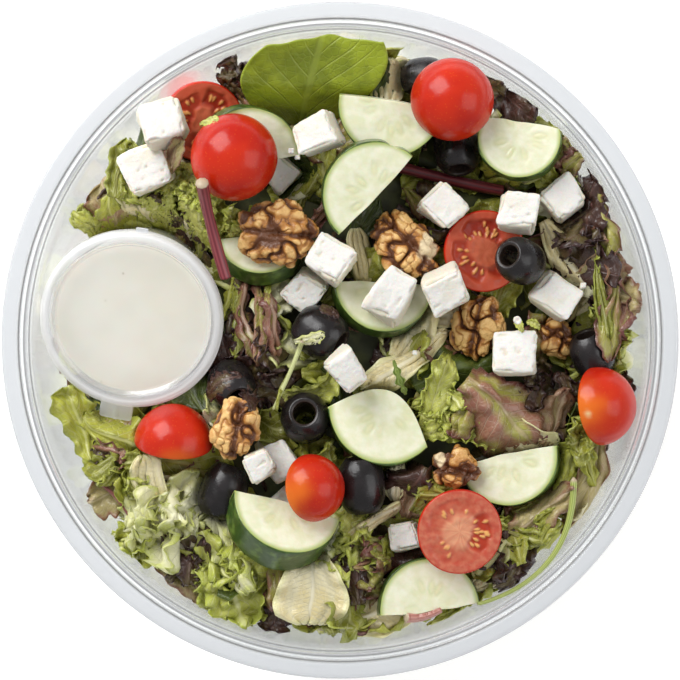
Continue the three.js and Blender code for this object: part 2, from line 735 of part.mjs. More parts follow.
// From the bottom of the pile to the top.
const ORDER = [
  "red_stem_2 tomato_1 feta_4 cucumber_10 cucumber_5 feta_9 walnut_3 walnut_4 tomato_4 olive_9",
  "olive_5 olive_4 feta_15 feta_16 feta_17 feta_18 olive_7 olive_3 olive_2 olive_8",
  "cucumber_1 cucumber_2 cucumber_4 cucumber_9 cucumber_7 cucumber_8 walnut_6 tomato_7",
  "tomato_2 tomato_3 cucumber_3 walnut_1 feta_8 feta_10 walnut_2 feta_5 feta_11 feta_12",
  "feta_6 feta_7 olive_1 feta_14 olive_6 cucumber_6 feta_13 tomato_6 tomato_5 tomato_8",
  "walnut_5 feta_1 feta_2 feta_3 red_stem_1",
];
for (const name of ORDER.join(" ").split(" ")) {
  const { item, finish, geometry } = toppings.get(name);
  const mesh = add(name, geometry(), finish);
  if (item.tip !== undefined) turn(mesh, item);
  lower(mesh, item.x, item.y, item.sit);
}

add("salad_leaves", leaves(), FINISH.leaves);

export default salad;
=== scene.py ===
"""Greek salad in a clear plastic bowl, with a lidded pot of white dressing.

Each solid of the part gets its finished form here, in the place that the solid holds. Shapes are
worked out in millimetres as whole numpy arrays and put into the meshes in metres.
"""
import logging
import math
from dataclasses import dataclass, field
from enum import Enum
from typing import ClassVar

import bpy
import numpy as np
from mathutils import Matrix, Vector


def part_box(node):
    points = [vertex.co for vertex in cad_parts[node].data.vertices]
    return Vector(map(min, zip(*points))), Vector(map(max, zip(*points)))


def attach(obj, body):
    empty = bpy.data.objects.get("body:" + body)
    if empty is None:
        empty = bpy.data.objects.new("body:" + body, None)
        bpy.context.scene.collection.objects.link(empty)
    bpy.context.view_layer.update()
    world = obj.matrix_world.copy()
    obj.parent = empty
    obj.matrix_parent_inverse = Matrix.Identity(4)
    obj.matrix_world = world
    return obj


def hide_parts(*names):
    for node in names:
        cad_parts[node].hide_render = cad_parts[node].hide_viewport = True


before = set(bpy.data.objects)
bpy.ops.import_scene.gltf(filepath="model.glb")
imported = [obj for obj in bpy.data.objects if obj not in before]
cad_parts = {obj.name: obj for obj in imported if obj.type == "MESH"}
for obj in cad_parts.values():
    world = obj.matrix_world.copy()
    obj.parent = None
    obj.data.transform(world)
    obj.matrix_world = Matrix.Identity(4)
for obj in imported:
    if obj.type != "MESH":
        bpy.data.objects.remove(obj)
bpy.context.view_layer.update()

Array = np.ndarray
Colour = tuple[float, float, float]
Place = tuple[float, float, float]  # or a size along x, y and z
Spot = tuple[float, float, float]  # x, y and width of a mark, seen from above
Socket = bpy.types.NodeSocket
Input = Socket | float | Colour
MM = 0.001
X, Y, Z = np.eye(3)
log = logging.getLogger("greek_salad")


# ---- numbers ----


def circle(count: int) -> Array:
    """Angles spaced evenly round a circle, in radians."""
    return np.linspace(0, 2 * np.pi, count, endpoint=False)


def lattice(cells: Array, seed: int) -> Array:
    """Random values in -1..1 for whole-number cells, the same in every run.

    Args:
        cells: Whole numbers, the last axis holding x, y and z.
        seed: Which of the many fields of values.

    Returns:
        One value per cell.
    """
    h = cells[..., 0] * 73856093 ^ cells[..., 1] * 19349663 ^ cells[..., 2] * 83492791
    h = (h ^ (seed * 7919 + 104729)) & 0x7FFFFFFF
    h = ((h ^ (h >> 13)) * 1274126177) & 0x7FFFFFFF
    h = ((h ^ (h >> 15)) * 668265263) & 0x7FFFFFFF
    return ((h >> 7) & 0xFFFFF) / 0x7FFFF - 1.0


def noise(points: Array, cell: float, seed: int = 0) -> Array:
    """Smooth noise in -1..1: the eight corner values of a cell, blended by 3t^2 - 2t^3 of the place in it.

    Args:
        points: Places, the last axis holding x, y and z.
        cell: Size of a cell, in the same unit.
        seed: Which field.

    Returns:
        One value per place.
    """
    scaled = points / cell
    base = np.floor(scaled).astype(np.int64)
    part = scaled - base
    fade = part * part * (3 - 2 * part)
    total = np.zeros(points.shape[:-1])
    for corner in np.ndindex(2, 2, 2):
        offset = np.array(corner)
        share = np.prod(np.where(offset == 1, fade, 1 - fade), axis=-1)
        total += share * lattice(base + offset, seed)
    return total


def fractal(points: Array, cell: float, seed: int = 0, octaves: int = 3) -> Array:
    """Noise summed over octaves, each half as large and half as strong as the last."""
    return sum(noise(points, cell / 2**k, seed + 17 * k) / 2**k for k in range(octaves))


def noise_vector(points: Array, cell: float, seed: int = 0) -> Array:
    """Three fields of noise as one vector field."""
    return np.stack([noise(points, cell, seed + 31 * k) for k in range(3)], axis=-1)


def smooth(value: Array, low: float, high: float) -> Array:
    """0 under low, 1 over high, and 3t^2 - 2t^3 between them."""
    t = np.clip((value - low) / (high - low), 0, 1)
    return t * t * (3 - 2 * t)


def bell(value: Array, width: float) -> Array:
    """1 at zero, and less to either side: exp(-(value/width)^2)."""
    return np.exp(-((value / width) ** 2))


def unit(vectors: Array) -> Array:
    """Vectors brought to a length of one."""
    return vectors / np.maximum(np.linalg.norm(vectors, axis=-1, keepdims=True), 1e-12)


def turn(yaw: float = 0, tip: float = 0, to: float = 0) -> Array:
    """Rotation by yaw about Z, after which +Z is tipped towards a bearing.

    Args:
        yaw: Degrees about the piece's own Z.
        tip: Degrees by which the axis leans.
        to: Bearing of the lean, anticlockwise from +X.

    Returns:
        A 3 by 3 matrix that multiplies column vectors.
    """
    spin = axis_turn(Z, yaw)
    bearing = math.radians(to)
    return axis_turn(np.array([-math.sin(bearing), math.cos(bearing), 0.0]), tip) @ spin


def seen_from(x: Array, y: Array, bearing: float, out: float) -> tuple[Array, Array]:
    """Places seen from a point that lies out along a bearing: how far on they are, and how far left."""
    c, s = math.cos(bearing), math.sin(bearing)
    return x * c + y * s - out, y * c - x * s


def axis_turn(axis: Array, degrees: float) -> Array:
    """Rotation about a unit axis: I + sin(a) K + (1 - cos(a)) K^2, with K the cross product by the axis.

    Args:
        axis: Direction of the axis, of length one.
        degrees: The angle.

    Returns:
        A 3 by 3 matrix that multiplies column vectors.
    """
    a = math.radians(degrees)
    x, y, z = axis
    k = np.array([[0, -z, y], [z, 0, -x], [-y, x, 0]])
    return np.eye(3) + math.sin(a) * k + (1 - math.cos(a)) * (k @ k)


# ---- surfaces ----


@dataclass
class Shell:
    """A surface in millimetres, and the values that its points carry to the materials."""

    points: Array
    quads: Array
    tris: Array = field(default_factory=lambda: np.zeros((0, 3), int))
    data: dict[str, Array] = field(default_factory=dict)

    def volume(self) -> float:
        """Signed volume: a sixth of a . (b x c), summed over the triangles.

        Returns:
            Cubic millimetres, below zero when the faces point in.
        """
        q, p = self.quads, self.points
        faces = np.concatenate([q[:, [0, 1, 2]], q[:, [0, 2, 3]], self.tris])
        a, b, c = p[faces[:, 0]], p[faces[:, 1]], p[faces[:, 2]]
        return float(np.einsum("ij,ij->i", a, np.cross(b, c)).sum() / 6)

    def outward(self) -> "Shell":
        """The same surface with its faces pointing out.

        Returns:
            This surface itself.
        """
        if self.volume() < 0:
            self.quads, self.tris = self.quads[:, ::-1], self.tris[:, ::-1]
        return self

    def away(self, x: float = 0.0, y: float = 0.0) -> Array:
        """How far each point is, seen from above, from a place."""
        return np.hypot(self.points[:, 0] - x, self.points[:, 1] - y)

    def turned(self, matrix: Array) -> "Shell":
        """The surface turned by a matrix."""
        return Shell(self.points @ matrix.T, self.quads, self.tris, self.data)

    def shifted(self, *offset: float) -> "Shell":
        """The surface shifted along x, y and z."""
        return Shell(self.points + np.array(offset), self.quads, self.tris, self.data)

    def centred_on(self, node: str) -> "Shell":
        """The surface shifted until the middle of its box is the middle of a solid's box.

        Args:
            node: Name of the solid.

        Returns:
            The shifted surface.
        """
        low, high = (np.array(corner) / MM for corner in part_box(node))
        middle = (self.points.min(0) + self.points.max(0)) / 2
        return self.shifted(*((low + high) / 2 - middle))


def joined(shells: list[Shell]) -> Shell:
    """Several surfaces as one, with the values that all of them carry.

    Args:
        shells: The surfaces.

    Returns:
        One surface, with their points in the same order.
    """
    starts = np.cumsum([0] + [len(s.points) for s in shells[:-1]])
    return Shell(
        np.concatenate([s.points for s in shells]),
        np.concatenate([s.quads + n for s, n in zip(shells, starts)]),
        np.concatenate([s.tris + n for s, n in zip(shells, starts)]),
        {key: np.concatenate([s.data[key] for s in shells]) for key in shells[0].data},
    )


def grid_quads(rows: int, columns: int, wrap: bool = False, loop: bool = False) -> Array:
    """Four-sided faces of a grid of points.

    Args:
        rows: Number of rows.
        columns: Points in a row.
        wrap: Whether the last column joins the first.
        loop: Whether the last row joins the first.

    Returns:
        Point numbers, four to a face, in the sense of (along a row) x (from row to row).
    """
    j, i = np.meshgrid(np.arange(rows - (not loop)), np.arange(columns - (not wrap)), indexing="ij")
    down, right = (j + 1) % rows, (i + 1) % columns
    corners = (j * columns + i, j * columns + right, down * columns + right, down * columns + i)
    return np.stack(corners, axis=-1).reshape(-1, 4)


def capped(grid: Array, data: dict[str, Array] | None = None) -> Shell:
    """A closed surface from rings of points, with a pole in the middle of the first and the last ring.

    Args:
        grid: Points by ring and place round the ring.
        data: Values by ring and place.

    Returns:
        The surface, facing out.
    """
    rows, columns = grid.shape[:2]
    count = rows * columns
    i = np.arange(columns)
    right = (i + 1) % columns
    last = (rows - 1) * columns
    near = np.stack([np.full(columns, count), right, i], axis=1)
    far = np.stack([np.full(columns, count + 1), last + i, last + right], axis=1)

    def with_poles(values: Array) -> Array:
        """Ring values as a list, followed by those of the two poles."""
        flat = values.reshape(count, *values.shape[2:])
        return np.concatenate([flat, [values[0].mean(0)], [values[-1].mean(0)]])

    carried = {key: with_poles(value) for key, value in (data or {}).items()}
    quads = grid_quads(rows, columns, wrap=True)
    return Shell(with_poles(grid), quads, np.concatenate([near, far]), carried).outward()


def lathe(profile: Array, columns: int, loop: bool = False) -> Shell:
    """A profile of (radius, height) pairs turned about Z: x = r cos a, y = r sin a, z = h.

    Args:
        profile: The pairs, from one pole to the other, or round a closed loop.
        columns: Points round the axis.
        loop: Whether the profile closes on itself.

    Returns:
        The surface, facing out.
    """
    a = circle(columns)
    r, h = profile[:, 0, None], profile[:, 1, None]
    grid = np.stack([r * np.cos(a), r * np.sin(a), h + 0 * a], axis=-1)
    if not loop:
        return capped(grid)
    return Shell(grid.reshape(-1, 3), grid_quads(len(profile), columns, wrap=True, loop=True)).outward()


def bezier(a: Array, b: Array, c: Array, t: Array) -> Array:
    """Points of the curve (1-t)^2 a + 2t(1-t) b + t^2 c, which runs from a to c and is pulled towards b.

    Args:
        a: Where it begins.
        b: Where it is pulled.
        c: Where it ends.
        t: How far along each point is, from 0 to 1.

    Returns:
        The points, in order.
    """
    t = t[:, None]
    return (1 - t) ** 2 * a + 2 * t * (1 - t) * b + t * t * c


def rounded(profile: list[tuple[float, float]], step: float, radius: float) -> Array:
    """A polyline with its corners cut to short arcs, and more points spaced out along the straights.

    Args:
        profile: The corners.
        step: Longest distance between neighbouring points.
        radius: How far from a corner its arc begins.

    Returns:
        The new points.
    """
    corners = np.array(profile, float)
    points = [corners[0]]
    for a, b, c in zip(corners, corners[1:], corners[2:]):
        back, on = np.linalg.norm(a - b), np.linalg.norm(c - b)
        start = b + (a - b) * min(radius / back, 0.45)
        end = b + (c - b) * min(radius / on, 0.45)
        points += list(bezier(start, b, end, np.array([0, 0.33, 0.67, 1])))
    points.append(corners[-1])
    spaced = [points[0]]
    for a, b in zip(points, points[1:]):
        pieces = max(1, math.ceil(np.linalg.norm(b - a) / step))
        spaced += [a + (b - a) * k / pieces for k in range(1, pieces + 1)]
    return np.array(spaced)


def thin_sheet(grid: Array, thickness: Array | float, data: dict[str, Array]) -> Shell:
    """A closed thin sheet: the grid moved half the thickness either way along its normals, and its rim.

    Args:
        grid: Middle surface, by row and column.
        thickness: One value, or one for each point.
        data: Values by row and column.

    Returns:
        The surface, facing out.
    """
    rows, columns = grid.shape[:2]
    normal = unit(np.cross(np.gradient(grid, axis=1), np.gradient(grid, axis=0)))
    half = normal * np.broadcast_to(np.asarray(thickness, float) / 2, (rows, columns))[..., None]
    sheet = rows * columns
    front = grid_quads(rows, columns)
    number = np.arange(sheet).reshape(rows, columns)
    rim = np.concatenate([number[0, :-1], number[:-1, -1], number[-1, :0:-1], number[:0:-1, 0]])
    on = np.roll(rim, -1)
    edge = np.stack([on, rim, rim + sheet, on + sheet], axis=1)
    points = np.concatenate([(grid + half).reshape(-1, 3), (grid - half).reshape(-1, 3)])
    carried = {k: np.concatenate([v.reshape(sheet, *v.shape[2:])] * 2) for k, v in data.items()}
    return Shell(points, np.concatenate([front, front[:, ::-1] + sheet, edge]), data=carried)


def tube(path: Array, radius: Array, ribs: Array) -> Shell:
    """A round section carried along a path: each ring lies square to the path, in a frame made from
    the path's direction and the upright.

    Args:
        path: Points of the middle line.
        radius: Radius at each point.
        ribs: Share added to the radius at each place round the section.

    Returns:
        The closed surface, facing out, which carries its places along and round as "run".
    """
    ahead = unit(np.gradient(path, axis=0))
    side = unit(np.cross(ahead, [0.02, 0.01, 1.0]))
    up = np.cross(side, ahead)
    a = circle(len(ribs))
    spread = (radius[:, None] * (1 + ribs))[..., None]
    grid = path[:, None] + spread * (np.cos(a)[:, None] * side[:, None] + np.sin(a)[:, None] * up[:, None])
    run = np.zeros_like(grid)
    run[..., 0], run[..., 1] = np.linspace(0, 1, len(path))[:, None], a / (2 * np.pi)
    return capped(grid, {"run": run})


# ---- materials ----


class Shader:
    """A node material while it is put together. Each call adds a node and returns its output."""

    def __init__(self, name: str) -> None:
        """Starts an empty material of that name.

        Args:
            name: Name of the material.
        """
        self.material = bpy.data.materials.new(name)
        self.material.use_nodes = True
        self.nodes = self.material.node_tree.nodes
        self.links = self.material.node_tree.links
        self.nodes.clear()

    def add(
        self, kind: str, inputs: dict[int | str, Input], output: int | str = 0, **settings: object
    ) -> Socket:
        """Adds one node.

        Args:
            kind: Its type, without the leading ShaderNode.
            inputs: Values or other nodes' outputs, by the input's name or number.
            output: Which output to return.
            **settings: The node's own properties.

        Returns:
            The chosen output.
        """
        node = self.nodes.new("ShaderNode" + kind)
        for key, value in settings.items():
            setattr(node, key, value)
        for key, value in inputs.items():
            if isinstance(value, Socket):
                self.links.new(value, node.inputs[key])
            elif isinstance(value, tuple) and node.inputs[key].type == "RGBA" and len(value) == 3:
                node.inputs[key].default_value = (*value, 1.0)
            else:
                node.inputs[key].default_value = value
        return node.outputs[output]

    def value(self, name: str) -> Socket:
        """A number that the points carry."""
        return self.add("Attribute", {}, "Fac", attribute_name=name)

    def parts(self, name: str) -> list[Socket]:
        """The three numbers of a vector that the points carry."""
        vector = self.add("Attribute", {}, "Vector", attribute_name=name)
        return list(self.add("SeparateXYZ", {"Vector": vector}).node.outputs)

    def place(self) -> Socket:
        """Where a point is on the whole object, in metres."""
        return self.add("TexCoord", {}, "Object")

    def calc(self, operation: str, a: Input, b: Input = 0.0, c: Input = 0.0) -> Socket:
        """One step of arithmetic on numbers."""
        return self.add("Math", {0: a, 1: b, 2: c}, operation=operation)

    def mix(self, factor: Input, a: Input, b: Input) -> Socket:
        """Colour a blended towards colour b."""
        return self.add("Mix", {0: factor, 6: a, 7: b}, 2, data_type="RGBA")

    def ramp(self, factor: Input, low: float, high: float, bottom: float = 0.0, top: float = 1.0) -> Socket:
        """A number brought smoothly from one range to another."""
        inputs = {"Value": factor, "From Min": low, "From Max": high, "To Min": bottom, "To Max": top}
        return self.add("MapRange", inputs, interpolation_type="SMOOTHSTEP")

    def noise(self, scale: float, detail: float = 2.0, rough: float = 0.5) -> Socket:
        """Cloudy noise over the whole object, with scale in lumps per metre."""
        inputs = {"Vector": self.place(), "Scale": scale, "Detail": detail, "Roughness": rough}
        return self.add("TexNoise", inputs, "Fac")

    def cells(self, scale: float, feature: str = "F1") -> Socket:
        """Distance in a field of cells: to the middle of one, or to its edge."""
        inputs = {"Vector": self.place(), "Scale": scale}
        return self.add("TexVoronoi", inputs, "Distance", feature=feature)

    def bump(self, height: Socket, depth: float, strength: float, over: Socket | None = None) -> Socket:
        """Relief of a depth in metres, on top of another relief if one is given."""
        inputs = {"Height": height, "Distance": depth, "Strength": strength}
        return self.add("Bump", inputs | ({"Normal": over} if over else {}))

    def principled(self, **inputs: Input) -> Socket:
        """A Principled surface, its inputs written with _ for a space."""
        return self.add("BsdfPrincipled", {key.replace("_", " "): v for key, v in inputs.items()})

    def blend(self, factor: Input, a: Socket, b: Socket) -> Socket:
        """Two surfaces mixed."""
        return self.add("MixShader", {0: factor, 1: a, 2: b})

    def done(self, surface: Socket) -> bpy.types.Material:
        """The material, with that as its surface."""
        self.links.new(surface, self.nodes.new("ShaderNodeOutputMaterial").inputs["Surface"])
        return self.material


@dataclass(frozen=True)
class Finish:
    """What a piece looks like. Each kind of finish adds its own nodes to a new material."""

    name: str

    def surface(self, s: Shader) -> Socket:
        """The surface that the finish ends in."""
        raise NotImplementedError

    def material(self) -> bpy.types.Material:
        """The finished material."""
        s = Shader(self.name)
        return s.done(self.surface(s))


@dataclass(frozen=True)
class ClearPlastic(Finish):
    """Thin clear plastic: mostly see-through, glossy, and milkier where it is seen along its surface.
    Light on its way to what is inside passes it freely."""

    tint: Colour
    body: Colour
    haze: float  # how milky it is seen square on
    edge: float  # and how much milkier along the surface
    roughness: float = 0.07
    haze_and_painted_lines: bool = False  # whether the points carry a haze and dark lines of their own
    # colour of the dark lines of painted shade that stand for the edges of the beads
    line: Colour = (0.1, 0.1, 0.095)

    def surface(self, s: Shader) -> Socket:
        """Adds the nodes of this finish.

        Args:
            s: The material that they go into.

        Returns:
            The surface that they end in.
        """
        facing = s.add("LayerWeight", {"Blend": 0.35}, "Facing")
        relief = s.bump(s.noise(55, 1.0), 0.0006, 0.5)
        milk = s.calc("MULTIPLY_ADD", s.calc("POWER", facing, 2.2), self.edge, self.haze)
        colour = self.body
        # the points' haze is the plastic's own milkiness; their line value blends in dark lines of painted
        # shade
        if self.haze_and_painted_lines:
            milk = s.calc("MAXIMUM", milk, s.value("haze"))
            colour = s.mix(s.value("line"), self.body, self.line)
        clear = s.add("BsdfTransparent", {"Color": self.tint})
        open_ = s.add("BsdfTransparent", {"Color": (1.0, 1.0, 1.0)})
        body = s.principled(Base_Color=colour, Roughness=self.roughness, IOR=1.5, Normal=relief)
        shine = s.add("BsdfGlossy", {"Color": (1.0, 1.0, 1.0), "Roughness": self.roughness, "Normal": relief})
        gloss = s.calc("MULTIPLY", s.add("Fresnel", {"IOR": 1.4, "Normal": relief}), 0.45)
        seen = s.blend(milk, s.blend(gloss, clear, shine), body)
        for kind in ("Is Diffuse Ray", "Is Shadow Ray"):
            seen = s.blend(s.add("LightPath", {}, kind), seen, open_)
        return seen


@dataclass(frozen=True)
class DressingFinish(Finish):
    """Smooth white dressing, a little yellower in places, with specks of herb."""

    name: str = "creamy_dressing"
    cream: Colour = (0.82, 0.79, 0.67)
    pale: Colour = (0.86, 0.84, 0.74)
    speck: Colour = (0.5, 0.47, 0.33)

    def surface(self, s: Shader) -> Socket:
        """Adds the nodes of this finish.

        Args:
            s: The material that they go into.

        Returns:
            The surface that they end in.
        """
        cloud = s.ramp(s.noise(45, 3.0), 0.35, 0.65)
        base = s.mix(cloud, self.cream, self.pale)
        specks = s.calc("MULTIPLY", s.ramp(s.cells(170), 0.05, 0.09, 1.0, 0.0), s.ramp(s.noise(60), 0.5, 0.6))
        colour = s.mix(s.calc("MULTIPLY", specks, 0.6), base, self.speck)
        relief = s.bump(s.noise(120, 2.0), 0.0004, 0.5)
        return s.principled(Base_Color=colour, Roughness=0.32, Normal=relief, Subsurface_Weight=0.2,
                            Subsurface_Scale=0.002)


@dataclass(frozen=True)
class TomatoFinish(Finish):
    """Glossy red skin, and a wet cut face with seeds in their jelly."""

    name: str = "cherry_tomato"
    red: Colour = (0.56, 0.024, 0.005)
    deep: Colour = (0.44, 0.012, 0.004)
    orange: Colour = (0.72, 0.15, 0.011)
    flesh: Colour = (0.52, 0.075, 0.034)
    core: Colour = (0.6, 0.15, 0.07)
    jelly: Colour = (0.33, 0.025, 0.009)
    seed: Colour = (0.7, 0.32, 0.09)
    scar: Colour = (0.75, 0.5, 0.25)

    def surface(self, s: Shader) -> Socket:
        """Adds the nodes of this finish.

        Args:
            s: The material that they go into.

        Returns:
            The surface that they end in.
        """
        cloud = s.ramp(s.noise(70, 2.0), 0.35, 0.7)
        skin = s.mix(cloud, self.red, self.deep)
        skin = s.mix(s.value("ripe"), skin, self.orange)
        freckles = s.ramp(s.cells(900), 0.1, 0.24, 0.25, 0.0)
        skin = s.mix(freckles, skin, self.orange)
        skin = s.mix(s.value("scar"), skin, self.scar)
        fibres = s.ramp(s.noise(520, 3.0), 0.3, 0.7)
        flesh = s.mix(s.calc("MULTIPLY", fibres, 0.3), self.flesh, self.core)
        flesh = s.mix(s.value("pith"), flesh, self.core)
        flesh = s.mix(s.value("jelly"), flesh, self.jelly)
        flesh = s.mix(s.value("seed"), flesh, self.seed)
        colour = s.mix(s.value("cut"), skin, flesh)
        rough = s.ramp(s.value("cut"), 0, 1, 0.24, 0.3)
        wet = s.bump(s.noise(420, 2.0), 0.0004, 0.3)
        return s.principled(Base_Color=colour, Roughness=rough, Normal=wet, Coat_Weight=0.1,
                            Coat_Roughness=0.08, Specular_IOR_Level=0.25, Subsurface_Weight=0.08,
                            Subsurface_Scale=0.003)


@dataclass(frozen=True)
class OliveFinish(Finish):
    """Near-black olive skin with a soft sheen, browner inside."""

    name: str = "black_olive"
    skin: Colour = (0.009, 0.007, 0.007)
    bloom: Colour = (0.022, 0.018, 0.019)
    inside: Colour = (0.03, 0.02, 0.016)

    def surface(self, s: Shader) -> Socket:
        """Adds the nodes of this finish.

        Args:
            s: The material that they go into.

        Returns:
            The surface that they end in.
        """
        skin = s.mix(s.ramp(s.noise(160, 3.0), 0.4, 0.75), self.skin, self.bloom)
        colour = s.mix(s.value("inside"), skin, self.inside)
        rough = s.ramp(s.noise(240, 2.0), 0.3, 0.7, 0.2, 0.36)
        wrinkles = s.bump(s.noise(330, 3.0, 0.6), 0.0006, 0.3)
        return s.principled(Base_Color=colour, Roughness=rough, Normal=wrinkles, Coat_Weight=0.08,
                            Coat_Roughness=0.1, Specular_IOR_Level=0.4)


@dataclass(frozen=True)
class FetaFinish(Finish):
    """White crumbly cheese with small pits, with painted shade on its sides and in its pits and crumbled
    hollows.
    """

    name: str = "white_feta"
    white: Colour = (0.8, 0.78, 0.735)
    cream: Colour = (0.76, 0.72, 0.61)
    # painted shade: the darker, yellower colour of the cube's sides
    side: Colour = (0.77, 0.71, 0.54)
    # painted shade: the darker colour in the pits and crumbled hollows
    pit: Colour = (0.6, 0.51, 0.33)

    def surface(self, s: Shader) -> Socket:
        """Adds the nodes of this finish.

        Args:
            s: The material that they go into.

        Returns:
            The surface that they end in.
        """
        base = s.mix(s.ramp(s.noise(110, 3.0), 0.5, 0.78), self.white, self.cream)
        # painted shade on the cube's sides
        base = s.mix(s.calc("MULTIPLY", s.value("side"), 0.6), base, self.side)
        # painted shade in the pits and crumbled hollows
        colour = s.mix(s.calc("MULTIPLY", s.value("pit"), 0.55), base, self.pit)
        relief = s.bump(s.noise(900, 3.0, 0.65), 0.0007, 0.45)
        return s.principled(Base_Color=colour, Roughness=0.55, Normal=relief, Subsurface_Weight=0.25,
                            Subsurface_Scale=0.0012, Specular_IOR_Level=0.3)


@dataclass(frozen=True)
class CucumberFinish(Finish):
    """Pale wet flesh that greens towards the skin, clearer seed pockets, and dark streaked skin."""

    name: str = "cucumber_slice"
    flesh: Colour = (0.74, 0.75, 0.51)
    pale: Colour = (0.82, 0.815, 0.63)
    pocket: Colour = (0.56, 0.58, 0.28)
    seed: Colour = (0.8, 0.77, 0.5)
    rind: Colour = (0.4, 0.48, 0.14)
    skin: Colour = (0.035, 0.075, 0.009)
    streak: Colour = (0.12, 0.2, 0.03)

    def surface(self, s: Shader) -> Socket:
        """Adds the nodes of this finish.

        Args:
            s: The material that they go into.

        Returns:
            The surface that they end in.
        """
        out, pocket, seed = s.parts("slice")
        grain = s.ramp(s.noise(300, 3.0), 0.35, 0.7)
        flesh = s.mix(grain, self.flesh, self.pale)
        flesh = s.mix(s.calc("MULTIPLY", pocket, 0.6), flesh, self.pocket)
        flesh = s.mix(s.calc("MULTIPLY", seed, 0.5), flesh, self.seed)
        flesh = s.mix(s.ramp(out, 0.86, 0.985), flesh, self.rind)
        skin = s.mix(s.ramp(s.noise(260, 2.0), 0.45, 0.7), self.skin, self.streak)
        colour = s.mix(s.value("skin"), flesh, skin)
        relief = s.bump(s.noise(500, 2.0), 0.0005, 0.25)
        return s.principled(Base_Color=colour, Roughness=0.3, Normal=relief, Subsurface_Weight=0.15,
                            Subsurface_Scale=0.002, Coat_Weight=0.2, Coat_Roughness=0.15)


@dataclass(frozen=True)
class WalnutFinish(Finish):
    """Brown papery kernel, with painted shade in its folds, a tan painted highlight on its ridges, and cream
    where it is broken.
    """

    name: str = "walnut_kernel"
    # the ridge colour is a painted highlight and the fold colour painted shade, over the kernel's own brown
    ridge: Colour = (0.88, 0.55, 0.2)
    side: Colour = (0.5, 0.21, 0.04)
    fold: Colour = (0.15, 0.05, 0.015)
    broken: Colour = (0.84, 0.68, 0.42)

    def surface(self, s: Shader) -> Socket:
        """Adds the nodes of this finish.

        Args:
            s: The material that they go into.

        Returns:
            The surface that they end in.
        """
        height = s.value("height")
        # low height takes the painted shade of the folds, high height the painted highlight of the ridges
        colour = s.mix(s.ramp(height, 0.0, 0.45), self.fold, self.side)
        spots = s.calc("MULTIPLY_ADD", s.noise(300, 4.0), 0.9, -0.45)
        colour = s.mix(s.ramp(s.calc("ADD", height, spots), 0.45, 0.95), colour, self.ridge)
        colour = s.mix(s.value("broken"), colour, self.broken)
        relief = s.bump(s.noise(620, 4.0, 0.65), 0.0012, 0.8)
        return s.principled(Base_Color=colour, Roughness=0.34, Normal=relief, Coat_Weight=0.35,
                            Coat_Roughness=0.16)


@dataclass(frozen=True)
class StemFinish(Finish):
    """A leaf stalk with fine lengthwise ribs, paler at its cut ends."""

    dark: Colour
    light: Colour
    tip: Colour = (0.5, 0.4, 0.27)

    def surface(self, s: Shader) -> Socket:
        """Adds the nodes of this finish.

        Args:
            s: The material that they go into.

        Returns:
            The surface that they end in.
        """
        along, around, _ = s.parts("run")
        stripes = s.calc("PINGPONG", s.calc("MULTIPLY", around, 9.0), 0.5)
        colour = s.mix(s.ramp(stripes, 0.05, 0.45), self.dark, self.light)
        colour = s.mix(s.ramp(along, 0.012, 0.035, 1.0, 0.0), colour, self.tip)
        relief = s.bump(stripes, 0.0003, 0.6)
        return s.principled(Base_Color=colour, Roughness=0.35, Normal=relief, Coat_Weight=0.15)


@dataclass(frozen=True)
class LeafFinish(Finish):
    """A leaf blade: a pale midrib and side veins, a colour that changes towards the margin, a fine
    net of veins in relief, a waxy sheen, and light that comes through it."""

    rib: Colour
    blade: Colour
    shade: Colour  # in patches, and on some leaves more than on others
    margin: Colour
    margin_from: float = 0.75  # where the margin's colour begins, 1 being the edge
    vein: float = 0.6
    veins: float = 9.0  # side veins on each side
    roughness: float = 0.38
    sheen: float = 0.4
    through: float = 0.14

    def surface(self, s: Shader) -> Socket:
        """Adds the nodes of this finish.

        Args:
            s: The material that they go into.

        Returns:
            The surface that they end in.
        """
        across, along, tone = s.parts("leaf")
        side = s.calc("ABSOLUTE", across)
        patches = s.calc("ADD", s.ramp(s.noise(75, 3.0), 0.3, 0.7), s.calc("MULTIPLY_ADD", tone, 1.1, -0.55))
        colour = s.mix(s.ramp(patches, 0.25, 0.95), self.blade, self.shade)
        edge = s.calc("ADD", s.value("edge"), s.calc("MULTIPLY_ADD", s.noise(160, 3.0), 0.5, -0.25))
        colour = s.mix(s.ramp(edge, self.margin_from, 1.0), colour, self.margin)
        slant = s.calc("MULTIPLY_ADD", side, -3.2, s.calc("MULTIPLY", along, self.veins))
        wave = s.calc("PINGPONG", slant, 0.5)
        branch = s.calc("MULTIPLY", s.ramp(wave, 0.0, 0.09, 1.0, 0.0), s.ramp(side, 0.55, 1.0, 1.0, 0.15))
        middle = s.ramp(side, 0.02, 0.085, 1.0, 0.0)
        veins = s.calc("MAXIMUM", branch, middle)
        net = s.ramp(s.cells(420, "DISTANCE_TO_EDGE"), 0.0, 0.12, 1.0, 0.0)
        both = s.calc("MAXIMUM", veins, s.calc("MULTIPLY", net, 0.35))
        colour = s.mix(s.calc("MULTIPLY", both, self.vein), colour, self.rib)
        fine = s.bump(s.noise(700, 2.0), 0.0004, 0.35)
        relief = s.bump(s.calc("SUBTRACT", 1.0, both), 0.0005, 0.55, fine)
        blade = s.principled(Base_Color=colour, Roughness=self.roughness, Normal=relief,
                             Coat_Weight=self.sheen, Coat_Roughness=0.22, Specular_IOR_Level=0.45)
        glow = s.add("BsdfTranslucent", {"Color": colour, "Normal": relief})
        return s.blend(self.through, blade, glow)


